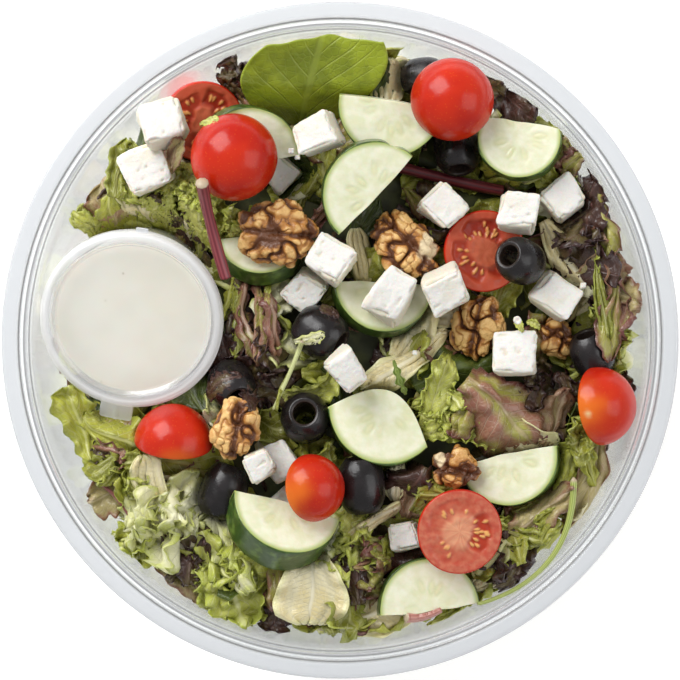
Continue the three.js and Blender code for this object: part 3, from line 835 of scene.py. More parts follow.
@dataclass(frozen=True)
class PlainFinish(Finish):
    """A surface of one mottled colour, for the floor and for the tightly packed heart of the salad."""

    colour: Colour
    other: Colour
    scale: float
    roughness: float = 0.6
    glow: float = 0.0

    def surface(self, s: Shader) -> Socket:
        """Adds the nodes of this finish.

        Args:
            s: The material that they go into.

        Returns:
            The surface that they end in.
        """
        colour = s.mix(s.ramp(s.noise(self.scale, 3.0), 0.35, 0.65), self.colour, self.other)
        return s.principled(Base_Color=colour, Roughness=self.roughness, Emission_Color=colour,
                            Emission_Strength=self.glow)


# ---- pieces ----


def make_piece(
    name: str, shell: Shell, material: bpy.types.Material, nodes: tuple[str, ...]
) -> None:
    """Puts a surface into the scene as a piece of the object.

    Args:
        name: The piece's name.
        shell: Its surface, in millimetres.
        material: Its finish.
        nodes: The solids that it stands for.
    """
    mesh = bpy.data.meshes.new(name)
    mesh.vertices.add(len(shell.points))
    mesh.vertices.foreach_set("co", (shell.points * MM).astype(np.float32).ravel())
    corners = np.concatenate([shell.quads.ravel(), shell.tris.ravel()])
    four, three = len(shell.quads), len(shell.tris)
    starts = np.concatenate([np.arange(four) * 4, four * 4 + np.arange(three) * 3])
    mesh.loops.add(len(corners))
    mesh.loops.foreach_set("vertex_index", corners.astype(np.int32))
    mesh.polygons.add(four + three)
    mesh.polygons.foreach_set("loop_start", starts.astype(np.int32))
    mesh.polygons.foreach_set("use_smooth", np.ones(four + three, bool))
    for key, values in shell.data.items():
        wide = values.ndim > 1
        attribute = mesh.attributes.new(key, "FLOAT_VECTOR" if wide else "FLOAT", "POINT")
        attribute.data.foreach_set("vector" if wide else "value", values.astype(np.float32).ravel())
    mesh.update(calc_edges=True)
    mesh.materials.append(material)
    piece = bpy.data.objects.new(name, mesh)
    bpy.context.scene.collection.objects.link(piece)
    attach(piece, "root")
    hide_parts(*nodes)
    log.info("%s: %d faces, for %s", name, four + three, ", ".join(nodes))


# ---- the bowl ----


@dataclass
class Bowl:
    """The clear bowl: a pushed-up base on a foot ring, a full curved wall, a beaded ledge and a flange."""

    rim_radius: float = 108.0
    height: float = 66.0
    foot_radius: float = 50.0
    foot_inner: float = 44.0
    push_up: float = 2.0
    wall_top_radius: float = 99.6
    wall_top: float = 60.0
    wall: float = 1.0
    roundness: float = 1.6
    beads: tuple[float, ...] = (99.3, 100.9, 102.6)  # radii of the dark lines between the beads
    columns: int = 168

    def outer(self, z: Array) -> Array:
        """Outer radius at a height: foot + (top - foot) (1 - (1 - z/wall_top)^2)^(1/roundness).

        Args:
            z: Heights over the table.

        Returns:
            A radius for each.
        """
        rest = 1 - np.clip(np.asarray(z, float) / self.wall_top, 0, 1)
        share = (1 - rest * rest) ** (1 / self.roundness)
        return self.foot_radius + (self.wall_top_radius - self.foot_radius) * share

    def inner(self, z: Array) -> Array:
        """Inner radius at a height: that of the outer wall less the slanted thickness."""
        slope = self.outer(np.asarray(z) + 0.5) - self.outer(np.asarray(z) - 0.5)
        return self.outer(z) - self.wall * np.sqrt(1 + np.minimum(slope, 3.0) ** 2)

    def wall_points(self) -> Array:
        """Outer profile of the wall, closer together where it curves most."""
        z = self.wall_top * np.linspace(0.108, 1, 30) ** 2
        return np.stack([self.outer(z), z], axis=1)

    def inner_points(self) -> Array:
        """The wall's profile moved in along its normal by its thickness."""
        along = unit(np.gradient(self.wall_points(), axis=0))
        return self.wall_points() + self.wall * np.stack([-along[:, 1], along[:, 0]], axis=1)

    def profile(self) -> Array:
        """The whole profile, from the middle of the base round the rim to the middle of the floor.

        Returns:
            Pairs of radius and height.
        """
        r, h, rim, t = self.wall_top_radius, self.height, self.rim_radius, self.wall
        step, ridge, flange = r + 1, r + 2.6, r + 3.6
        base = [(0.5, self.push_up), (self.foot_inner - 3, self.push_up), (self.foot_inner, 0),
                (self.foot_radius - 1.2, 0), (self.foot_radius + 0.2, 0.35)]
        rim_outer = [(step + 0.2, h - 2.8), (ridge - 0.3, h - 2.8), (ridge + 0.3, h - 1.2),
                     (rim - 1.1, h - 1.2), (rim - 0.8, h - 4), (rim, h - 4), (rim, h - 0.6), (rim - 0.6, h),
                     (flange, h), (flange - 0.5, h - 1.4), (ridge - 0.5, h - 1.8), (ridge - 1.0, h - 1.1),
                     (step - 0.5, h - 1.1), (step - 0.9, h - 1.9), (step - 1.4, h - 1.9), (r - 1.05, h - 3.2)]
        floor = [(self.foot_radius - 1.4, t + 0.35), (self.foot_inner + 0.4, t),
                 (self.foot_inner - 2.6, self.push_up + t), (0.5, self.push_up + t)]
        return np.concatenate([
            rounded(base, 6, 0.6),
            self.wall_points(),
            rounded(rim_outer, 0.9, 0.28),
            self.inner_points()[::-1],
            rounded(floor, 6, 0.6),
        ])

    def build(self) -> None:
        """Makes the bowl's piece, whose flange is milky and whose beads are drawn by dark lines of painted
        shade.
        """
        finish = ClearPlastic("clear_bowl_plastic", tint=(0.93, 0.94, 0.952), body=(0.655, 0.67, 0.69),
                              haze=0.07, edge=0.45, haze_and_painted_lines=True)
        shell = lathe(self.profile(), self.columns)
        out, up = shell.away(), shell.points[:, 2]
        rim = smooth(up, self.height - 4.5, self.height - 3)
        # painted shade: dark lines at the beads' radii, standing for how their edges look dark; the same
        # value greys the flange a little
        line = sum(bell(out - r, 0.3) for r in self.beads) * rim
        flange = smooth(out, 102.9, 103.6)
        shell.data["line"] = np.clip(line * 0.95 + 0.06 * flange, 0, 1)
        shell.data["haze"] = np.maximum(0.6 * flange, 0.8 * np.clip(line, 0, 1))
        make_piece("clear_bowl", shell, finish.material(), ("bowl",))


# ---- the pot of dressing ----


@dataclass
class DressingPot:
    """The small pot with its snap-on lid and pull tab, and the dressing in it. The pot leans."""

    x: float = -66.7
    y: float = 6.4
    rim_height: float = 62.0
    rim_radius: float = 28.3
    base_radius: float = 20.0
    height: float = 38.0
    wall: float = 1.0
    lean: tuple[float, float] = (2.5, 12.0)
    lid_top: float = 1.8
    skirt: float = 3.2
    panel: float = 2.2
    gap: float = 0.35
    lid_wall: float = 0.8
    ring: float = 9.0  # depth of the stacking ring under the rim
    columns: int = 112

    def placed(self, shell: Shell) -> Shell:
        """A surface about the rim's centre, leant and put in its place.

        Args:
            shell: The surface.

        Returns:
            The surface where it stands.
        """
        tip = math.degrees(math.asin(math.hypot(*self.lean) / self.height))
        to = math.degrees(math.atan2(-self.lean[1], -self.lean[0]))
        return shell.turned(turn(0, tip, to)).shifted(self.x, self.y, self.rim_height)

    def inside(self, depth: float) -> float:
        """Radius inside the pot at a depth under its rim, which falls evenly to the foot."""
        top, foot = self.rim_radius - 1.6 - self.wall, self.base_radius - self.wall
        return top + (foot - top) * depth / (self.height - self.wall)

    def pot(self) -> Shell:
        """The pot: a tapered wall with a stacking ring and a rolled rim.

        Returns:
            The surface, about the centre of the rim.
        """
        r, b, h, t, ring = self.rim_radius, self.base_radius, self.height, self.wall, self.ring
        outer = r - 1.7 - (r - 1.7 - b) * (ring - 2.2) / (h - 3.2)
        profile = [(0.3, -h + 0.5), (b - 3, -h + 0.5), (b - 2.4, -h), (b - 1, -h), (b, -h + 1),
                   (outer - 0.5, -ring - 1.2), (outer + 0.5, -ring), (r - 1.5, -2.2), (r - 0.2, -2.2),
                   (r, -1.2), (r - 0.4, -0.1), (r - 1.6, 0), (self.inside(1), -1),
                   (self.inside(h - t), -h + t), (0.3, -h + t)]
        return lathe(rounded(profile, 4, 0.5), self.columns)

    def lid(self) -> Shell:
        """The lid: a sunk panel, a round bead over the pot's rim and a skirt; its nub is a piece of its own.

        Returns:
            The surface, about the centre of the rim.
        """
        r, top, skirt, panel, thick = self.rim_radius, self.lid_top, self.skirt, self.panel, self.lid_wall
        inner, outside = r - 3.2, r + self.gap + thick
        profile = [(0.3, -panel - thick), (inner - 0.4, -panel - thick), (inner, -panel - 0.2),
                   (inner + 0.5, self.gap), (r - 0.2, self.gap), (r + self.gap, -0.6), (r + self.gap, -skirt),
                   (outside, -skirt), (outside, 0.5), (outside - 0.9, top - 0.3), (outside - 2, top),
                   (inner + 0.3, top - 0.5), (inner - 0.9, -panel + 0.2), (inner - 1.6, -panel),
                   (0.3, -panel)]
        shell = lathe(rounded(profile, 2, 0.4), self.columns)
        out = shell.away()
        shell.data["haze"] = 0.48 * smooth(out, inner + 0.4, inner + 1.6)
        # painted shade: a faint dark ring along the inner edge of the bead
        shell.data["line"] = 0.22 * bell(out - inner + 0.1, 0.4)
        return shell

    def slab(self, size: Place, power: float) -> Shell:
        """A plate with rounded corners: places on a cube divided by their power-norm, then stretched.

        Args:
            size: Width, depth and height.
            power: Of the norm: the higher, the sharper its corners.

        Returns:
            The surface, about its own middle.
        """
        cube = cube_shell(15)
        rest = (np.abs(cube.points) ** power).sum(1) ** (1 / power)
        return Shell(cube.points / rest[:, None] * np.array(size) / 2, cube.quads)

    def tab(self) -> Shell:
        """The pull tab on the lid's edge, with a raised line down its middle.

        Returns:
            The surface, about the centre of the rim.
        """
        plate = self.slab((10.6, 7.4, 0.8), 9)
        line = bell(plate.points[:, 0], 0.45) * (plate.points[:, 2] > 0)
        plate.points[:, 2] += 0.35 * line
        outside = self.rim_radius + self.gap + self.lid_wall
        in_place = plate.turned(axis_turn(X, 18)).shifted(0, -(outside + 2.6), -self.skirt + 0.1)
        return in_place.turned(axis_turn(Z, -11))

    def nub(self) -> Shell:
        """The small block on the lid's far edge that the moulding leaves."""
        reach = self.rim_radius + self.gap + self.lid_wall + 0.3
        return self.slab((4.0, 1.6, 1.2), 6).shifted(0, reach, -1.4).turned(axis_turn(Z, -8))

    def dressing(self) -> Shell:
        """The dressing up to its level, just reaching into the pot's wall, with a gently uneven top.

        Returns:
            The surface, about the centre of the rim.
        """
        top = -self.panel - self.lid_wall - 0.15
        foot = -self.height + self.wall - 0.2
        into = 0.3
        wide, narrow = self.inside(-top) + into, self.inside(-foot) + into
        profile = [(0.3, foot), (narrow, foot), (wide, top), (0.3, top)]
        shell = lathe(rounded(profile, 1.6, 0.3), self.columns)
        up = smooth(shell.points[:, 2], top - 1, top)
        shell.points[:, 2] -= up * 0.25 * (1 + fractal(shell.points, 9, 5)) / 2
        return shell

    def build(self) -> None:
        """Makes the pot, the lid and the dressing."""
        pot = ClearPlastic("milky_pot_plastic", tint=(0.95, 0.955, 0.96), body=(0.84, 0.85, 0.86),
                           haze=0.2, edge=0.55, roughness=0.12)
        lid = ClearPlastic("clear_lid_plastic", tint=(0.985, 0.985, 0.985), body=(0.83, 0.83, 0.82),
                           haze=0.03, edge=0.85, roughness=0.15, haze_and_painted_lines=True)
        tab = ClearPlastic("clear_tab_plastic", tint=(0.9, 0.91, 0.92), body=(0.74, 0.76, 0.78),
                           haze=0.55, edge=0.4)
        tab_material = tab.material()
        make_piece("small_pot", self.placed(self.pot()), pot.material(), ("dressing_pot",))
        make_piece("snap_lid", self.placed(self.lid()), lid.material(), ("pot_lid",))
        make_piece("lid_tab", self.placed(self.tab()), tab_material, ("pot_lid",))
        make_piece("lid_nub", self.placed(self.nub()), tab_material, ("pot_lid",))
        filling = self.placed(self.dressing())
        make_piece("white_dressing", filling, DressingFinish().material(), ("dressing",))


# ---- toppings ----


def cube_shell(count: int) -> Shell:
    """The surface of a cube from -1 to 1 as six grids with shared edges merged.

    Args:
        count: Points along an edge.

    Returns:
        The surface, facing out.
    """
    line = np.linspace(-1, 1, count)
    q, p = np.meshgrid(line, line, indexing="ij")
    points, quads = [], []
    for axis in range(3):
        for sign in (1, -1):
            side = np.zeros((count, count, 3))
            side[..., axis], side[..., (axis + 1) % 3], side[..., (axis + 2) % 3] = sign, p, q
            faces = grid_quads(count, count) + len(points) * count * count
            points.append(side.reshape(-1, 3))
            quads.append(faces if sign > 0 else faces[:, ::-1])
    every = np.concatenate(points)
    whole = np.round(every * 1e5).astype(int)
    _, first, number = np.unique(whole, axis=0, return_index=True, return_inverse=True)
    return Shell(every[first], number.reshape(-1)[np.concatenate(quads)])


@dataclass
class Topping:
    """One piece on the salad, numbered within its kind. It lies where its solid lies, but for a nudge."""

    number: int
    tip: float = 0.0
    to: float = 0.0
    yaw: float = 0.0

    slot: ClassVar[str] = ""
    kind: ClassVar[str] = ""

    @property
    def name(self) -> str:
        """The name of its solid."""
        return f"{self.slot}_{self.number}"

    def shape(self) -> Shell:
        """The surface about its own centre, before it is turned."""
        raise NotImplementedError

    def shell(self) -> Shell:
        """The surface in its place."""
        shell = self.shape().turned(turn(self.yaw, self.tip, self.to)).centred_on(self.name)
        return shell.shifted(*NUDGES[self.slot].get(self.number, (0.0, 0.0)), 0.0)

    def build(self, material: bpy.types.Material) -> Shell:
        """Makes the piece and returns its surface, so that the leaves can lie clear of it.

        Args:
            material: Its finish.

        Returns:
            Its surface.
        """
        shell = self.shell()
        make_piece(f"{self.kind}_{self.number}", shell, material, (self.name,))
        return shell


@dataclass
class Tomato(Topping):
    """Half a cherry tomato."""

    r: float = 13.0
    cut_up: bool = False
    orange: Spot | None = None
    scar: Spot | None = None
    first: float = 20.0  # bearing of the first pocket on the cut face
    pockets: tuple[float, float, float] = (1.0, 0.9, 0.8)  # how open each of them is

    slot: ClassVar[str] = "tomato"
    kind: ClassVar[str] = "halved_tomato"

    def face(self, x: Array, y: Array) -> tuple[Array, dict[str, Array]]:
        """Relief and marks of the cut face: three pockets of jelly with seeds, between walls of flesh.

        Args:
            x: Places across the face.
            y: The same, the other way.

        Returns:
            The depth of each place, and the values for the material.
        """
        rng = np.random.default_rng(self.number * 7 + 3)
        flat = np.stack([x, y, 0 * x], axis=-1)
        out = np.hypot(x, y) / self.r + 0.09 * noise(flat, self.r * 0.4, self.number)
        out += 0.04 * noise(flat, self.r * 0.14, self.number + 2)
        start = math.radians(self.first)
        turned = np.arctan2(y, x) - start + 0.35 * noise(flat, self.r * 0.5, self.number + 9)
        pocket, seeds = np.zeros_like(x), np.zeros_like(x)
        for k, share in enumerate(self.pockets):
            off = (turned - 2 * np.pi * k / 3 + np.pi) % (2 * np.pi) - np.pi
            inside = 1 - smooth(np.abs(off) * (out + 0.2), 0.55, 0.85)
            ring = smooth(out, 0.22 + 0.12 * np.abs(off), 0.4 + 0.12 * np.abs(off))
            ring *= 1 - smooth(out, 0.7, 0.82)
            pocket = np.maximum(pocket, share * inside * ring)
            for _ in range(round(11 * share)):
                a = start + 2 * np.pi * k / 3 + rng.uniform(-0.8, 0.8)
                d = self.r * rng.uniform(0.4, 0.66)
                u, v = seen_from(x, y, a, d)
                v = v / (0.75 + 0.18 * np.clip(u, -1, 1))
                seeds = np.maximum(seeds, 1 - smooth(np.hypot(u / 1.15, v / 0.72), 0.5, 1.15))
        seeds *= smooth(pocket, 0.1, 0.5)
        depth = 0.8 * pocket - 0.6 * seeds + 0.15 * noise(flat, 1.6, self.number + 5)
        round_ = np.stack([np.cos(turned) * 4, np.sin(turned) * 4, out * 1.2], axis=-1)
        streaks = 0.5 + 0.5 * noise(round_, 0.5, self.number + 13)
        pith = (1 - smooth(out, 0.25, 0.75)) * (0.35 + 0.65 * streaks) * (1 - 0.85 * pocket)
        return depth, {"jelly": pocket * (1 - seeds), "seed": seeds, "pith": pith}

    def shape(self) -> Shell:
        """The cut face from its middle out, then the skin, a dome r cos a wide and 1.02 r sin a high.

        Returns:
            The surface, about the middle of the cut face.
        """
        columns, inner = (132, 44) if self.cut_up else (72, 8)
        a = circle(columns)
        across = self.r * np.linspace(0.015, 0.955, inner)
        up = np.radians(np.linspace(0, 89, 34))
        radius = np.concatenate([across, [self.r * 0.985], self.r * np.cos(up)])
        height = np.concatenate([0 * across, [0.15], 0.6 + (self.r * 1.02 - 0.6) * np.sin(up)])
        x, y = radius[:, None] * np.cos(a), radius[:, None] * np.sin(a)
        z = np.broadcast_to(height[:, None], x.shape).copy()
        depth, marks = self.face(x, y)
        cut = np.zeros_like(x)
        cut[:inner] = 1.0
        z += cut * depth
        if not self.cut_up:
            marks = {key: 0 * value for key, value in marks.items()}
        grid = np.stack([x, y, z], axis=-1)
        grid *= 1 + 0.012 * noise(grid, self.r * 0.9, self.number + 40)[..., None]
        return capped(grid, marks | {"cut": cut, "ripe": 0 * cut, "scar": 0 * cut})

    def shell(self) -> Shell:
        """The surface in its place, with its marks.

        Returns:
            The surface, with the values for its finish.
        """
        shell = super().shell()
        for key, spot in (("ripe", self.orange), ("scar", self.scar)):
            if spot:
                x, y, width = spot
                away = shell.away(x, y) / width + 0.25 * noise(shell.points, 4.0, self.number)
                shell.data[key] = (1 - smooth(away, 0.1, 1.4)) * (1 - shell.data["cut"])
        return shell


@dataclass
class Olive(Topping):
    """A pitted olive, open at both ends."""

    r: float = 7.5
    length: float = 17.0

    slot: ClassVar[str] = "olive"
    kind: ClassVar[str] = "pitted_olive"

    def shape(self) -> Shell:
        """A barrel of radius r (1 - 0.34 |t|^3), rolled in at the ends to a bore of 0.46 r.

        Returns:
            The surface, its length along Z.
        """
        half, mouth = self.length / 2, self.r * 0.46
        t = np.linspace(-1, 1, 26)
        barrel = np.stack([self.r * (1 - 0.34 * np.abs(t) ** 3), half * 0.87 * t], axis=1)
        top = rounded([tuple(barrel[-1]), (mouth + 1.0, half * 0.93), (mouth, half * 0.88)], 0.5, 0.5)[1:]
        low = rounded([(mouth, -half * 0.84), (mouth + 1.0, -half * 0.9), tuple(barrel[0])], 0.5, 0.5)[:-1]
        bore = np.stack([np.full(7, mouth), np.linspace(half * 0.8, -half * 0.76, 7)], axis=1)
        profile = np.concatenate([low, barrel, top, bore])
        shell = lathe(profile, 56, loop=True)
        out = shell.away()
        shell.data["inside"] = 1 - smooth(out, mouth * 1.02, mouth + 0.9)
        shell.points[:, :2] *= 1 + 0.018 * noise(shell.points, 5.0, self.number)[:, None]
        return shell


@dataclass
class FetaCube(Topping):
    """A hand-cut cube of cheese with worn, crumbly edges."""

    size: Place = (12.0, 12.0, 12.0)
    pits: float = 0.5

    slot: ClassVar[str] = "feta"
    kind: ClassVar[str] = "feta_cube"
    points_along: ClassVar[int] = 30

    def shape(self) -> Shell:
        """A cube rounded by its 11-norm, its corners pushed off square, then worn by noise: more at
        the edges, with pits where a coarse noise runs high.

        Returns:
            The surface, about its middle.
        """
        cube = cube_shell(self.points_along)
        p = cube.points
        worn = p / ((np.abs(p) ** 11).sum(1) ** (1 / 11))[:, None]
        rng = np.random.default_rng(self.number * 13 + 1)
        half = np.array(self.size) / 2
        points = worn * half
        for corner in np.ndindex(2, 2, 2):
            sign = np.array(corner) * 2 - 1
            share = np.prod((1 + worn * sign) / 2, axis=1)
            points += share[:, None] * rng.uniform(-1.35, 1.35, 3)
        normal = unit(np.sign(p) * np.abs(p) ** 9)
        ordered = np.sort(np.abs(p), axis=1)
        edge = smooth(ordered[:, 1], 0.72, 1.0)
        crumbs = np.maximum(noise(points, 2.0, self.number * 3), 0) * 1.2 * edge
        crumbs += np.maximum(noise(points, 4.4, self.number * 3 + 1), 0) ** 1.5 * 3.2 * edge
        crumbs += 0.3 * np.abs(noise(points, 3.5, self.number * 3 + 7))
        crumbs += 0.5 * noise(points, 9, self.number + 50)
        pit = smooth(noise(points, 1.5, self.number * 3 + 2), 0.55, 0.8) * self.pits
        grain = 0.08 * noise(points, 0.8, self.number * 3 + 4)
        points -= normal * (crumbs + 0.7 * pit + grain)[:, None]
        cube.points = points
        # how far a point lies in a pit or a crumbled hollow, for its painted shade
        cube.data["pit"] = np.clip(pit * 1.4 + 0.5 * smooth(crumbs, 0.5, 1.1), 0, 1)
        # how far a point lies on the cube's sides, for their painted shade
        cube.data["side"] = 1 - smooth(np.abs(p[:, 2]), 0.85, 0.99)
        return cube


@dataclass
class CucumberSlice(Topping):
    """Part of a cucumber slice. Arc is the bearing of the middle of its skin, and cut how far the
    straight edge lies towards the skin from the full slice's centre."""

    r: float = 16.0
    thick: float = 7.0
    arc: float = 0.0
    cut: float = 0.0
    dent: tuple[float, float, float] | None = None  # bearing, depth and width of a notch in the skin
    bulge: float = 0.7  # how far the cut edge swells out past a straight line

    slot: ClassVar[str] = "cucumber"
    kind: ClassVar[str] = "cucumber_piece"
    around: ClassVar[int] = 120

    def outline(self) -> Array:
        """The edge in plan: the arc, then the straight cut back, evenly spaced by length.

        Returns:
            Points in plan, in order round the piece.
        """
        half, middle = math.acos(self.cut / self.r), math.radians(self.arc)
        chord = 2 * self.r * math.sin(half)
        on_arc = round(self.around * (2 * half * self.r) / (2 * half * self.r + chord))
        a = middle + np.linspace(-half, half, on_arc)
        radius = self.r + 0.22 * np.sin(3 * a + self.number) + 0.12 * np.sin(7 * a + 2 * self.number)
        if self.dent:
            bearing, depth, width = self.dent
            radius -= depth * bell(np.degrees(a) - bearing, width)
        arc = np.stack([radius * np.cos(a), radius * np.sin(a)], axis=1)
        t = np.linspace(0, 1, self.around - on_arc + 2)[1:-1, None]
        line = arc[-1] + (arc[0] - arc[-1]) * t
        inward = -np.array([math.cos(middle), math.sin(middle)])
        along = np.stack([t[:, 0] * 9, 0 * t[:, 0], 0 * t[:, 0] + self.number], axis=1)
        wave = self.bulge + 0.5 * noise(along, 1.7, self.number)
        return np.concatenate([arc, line + (wave * np.sin(np.pi * t[:, 0]))[:, None] * inward])

    def shape(self) -> Shell:
        """Rings between the middle of the piece and its outline on the top face, down the side with
        small rounded edges, and back on the underside.

        Returns:
            The surface, about the centre of the full slice.
        """
        edge = self.outline()
        middle = math.radians(self.arc)
        deep = self.cut + (self.r - self.cut) * 0.42
        centre = deep * np.array([math.cos(middle), math.sin(middle)])
        half, bevel = self.thick / 2, 0.35
        face = np.concatenate([np.linspace(0.02, 0.93, 26), [0.955, 0.97, 0.982]])
        side = np.linspace(half - bevel, -half + bevel, 7)
        share = np.concatenate([face, [0.995], np.ones(7), [0.995], face[::-1]])
        height = np.concatenate([0 * face + half, [half - 0.1], side, [-half + 0.1], 0 * face - half])
        plan = centre + share[:, None, None] * (edge - centre)
        x, y = plan[..., 0], plan[..., 1]
        z = np.broadcast_to(height[:, None], x.shape).copy()
        out = np.hypot(x, y) / self.r
        pocket, seed = self.seed_marks(x, y, out)
        on_face = np.zeros_like(z)
        on_face[: len(face)] = 1
        on_face[-len(face):] = -1
        flat = np.stack([x, y, z], axis=-1)
        z -= on_face * (0.25 * pocket - 0.15 * seed + 0.12 * noise(flat, 3.2, self.number))
        bearing = np.abs((np.degrees(np.arctan2(y, x)) - self.arc + 180) % 360 - 180)
        on_skin = smooth(out, 0.93, 0.99) * (bearing < math.degrees(math.acos(self.cut / self.r)) - 1.2)
        skin = on_skin * np.where(np.abs(on_face) > 0, smooth(out, 0.972, 0.99), 1.0)
        marks = {"slice": np.stack([out, pocket, seed], axis=-1), "skin": skin}
        return capped(np.stack([x, y, z], axis=-1), marks)

    def seed_marks(self, x: Array, y: Array, out: Array) -> tuple[Array, Array]:
        """Three groups of seeds, each seed long towards the centre, in clearer pockets.

        Args:
            x: Places across the slice.
            y: The same, the other way.
            out: Their share of the way to the skin.

        Returns:
            How far each place is in a pocket, and how far in a seed, from 0 to 1.
        """
        rng = np.random.default_rng(self.number * 5 + 11)
        start = rng.uniform(0, 2 * np.pi)
        pocket, seed = np.zeros_like(x), np.zeros_like(x)
        for k in range(3):
            for step in (-0.62, -0.2, 0.2, 0.62):
                a = start + 2 * np.pi * k / 3 + step + rng.uniform(-0.08, 0.08)
                d = self.r * rng.uniform(0.36, 0.5)
                u, v = seen_from(x, y, a, d)
                here = rng.uniform(0.35, 1.0)
                pocket = np.maximum(pocket, here * (1 - smooth(np.hypot(u / 3.4, v / 1.9), 0.35, 1.15)))
                seed = np.maximum(seed, here * (1 - smooth(np.hypot(u / 2.1, v / 0.8), 0.5, 1.1)))
        return pocket * (1 - smooth(out, 0.6, 0.75)), seed


@dataclass
class Walnut(Topping):
    """Half a walnut kernel, some of them with a broken place."""

    size: Place = (20.0, 16.0, 11.0)
    broken: Spot | None = None
    dark: float = 0.0

    slot: ClassVar[str] = "walnut"
    kind: ClassVar[str] = "walnut_half"

    def shape(self) -> Shell:
        """An ellipsoid whose radius is folded: deep creases run where a warped noise crosses zero,
        finer ones where a second does, and a groove parts the two rows of lobes.

        Returns:
            The surface, about its middle.
        """
        columns, rings = 150, 82
        around, up = np.meshgrid(circle(columns), np.radians(np.linspace(-88, 88, rings)))
        long, wide, high = (s / 2 for s in self.size)
        squash = np.where(up < 0, 0.75, 1.0)
        ball = np.stack([
            long * np.cos(up) * np.cos(around),
            wide * np.cos(up) * np.sin(around),
            high * squash * np.sin(up),
        ], axis=-1)
        outward = unit(ball / np.array([long, wide, high]) ** 2)
        warped = ball + 1.5 * noise_vector(ball, 4.0, self.number * 9)
        wide_fold = noise(warped, 5.0, self.number * 9 + 4)
        fine_fold = noise(ball + 0.7 * noise_vector(ball, 2.0, self.number), 2.4, self.number * 9 + 6)
        crease = bell(wide_fold, 0.17)
        fine = bell(fine_fold, 0.16) * (1 - crease)
        groove = bell(ball[..., 1], 1.1) * smooth(np.sin(up), -0.2, 0.4)
        lump = 0.9 * np.sqrt(np.abs(wide_fold)) + 0.5 * noise(ball, 7.0, self.number * 9 + 8)
        lump += 0.4 * noise(ball, 1.7, self.number * 9 + 12)
        lift = lump - 1.7 * crease - 0.6 * fine - 1.7 * groove - 0.5
        edge = 1 + 0.05 * np.sin(5 * around + self.number) * np.cos(up) ** 2
        points = ball * edge[..., None] * 0.97 + outward * lift[..., None]
        # the height also sets the colour: painted shade in the folds and creases, painted highlight on the
        # ridges
        ridge = 0.25 + 0.975 * np.sqrt(np.abs(wide_fold))
        height = np.clip(ridge - 0.9 * crease - 0.5 * fine - groove, 0, 1)
        return capped(points, {"height": height - self.dark, "broken": 0 * height})

    def shell(self) -> Shell:
        """The surface in its place, with the cream of its broken place marked on its upper side.

        Returns:
            The surface, with the values for its finish.
        """
        shell = super().shell()
        if self.broken:
            x, y, width = self.broken
            away = shell.away(x, y) / width + 0.35 * noise(shell.points, 2.5, self.number)
            upper = smooth(shell.points[:, 2], shell.points[:, 2].mean() - 1, shell.points[:, 2].mean() + 1)
            shell.data["broken"] = (1 - smooth(away, 0.75, 0.95)) * upper
        return shell


# How far a finished topping lies from the middle of its solid, where it rests a little to one side.
NUDGES = {
    "tomato": {1: (-1.5, 2.0), 2: (0.6, 0.6), 3: (2.2, 2.5), 5: (3.8, 2.5), 6: (0, -2.5), 7: (-1, -1.8),
               8: (-1, 1.2)},
    "olive": {1: (1.2, -1), 3: (0, 1.3), 4: (-2, 2.2), 8: (0, -1.2)},
    "feta": {2: (-2.4, 0.4), 3: (0.5, 1.5), 4: (-1.4, 1.8), 5: (0, -1.2), 8: (-1.5, 0), 9: (0.2, 1.2),
             11: (-1, 1.2), 12: (1.8, 0)},
    "cucumber": {2: (-0.5, 2.3), 3: (-1.2, 0), 4: (1.5, 2.8), 6: (-1.8, -3.6), 7: (-4.4, -1),
                 8: (-1.2, -1.8), 9: (1.5, -0.5)},
    "walnut": {2: (-0.5, -1), 3: (1.6, 0), 4: (1.6, 1.2), 6: (1.8, 0)},
}


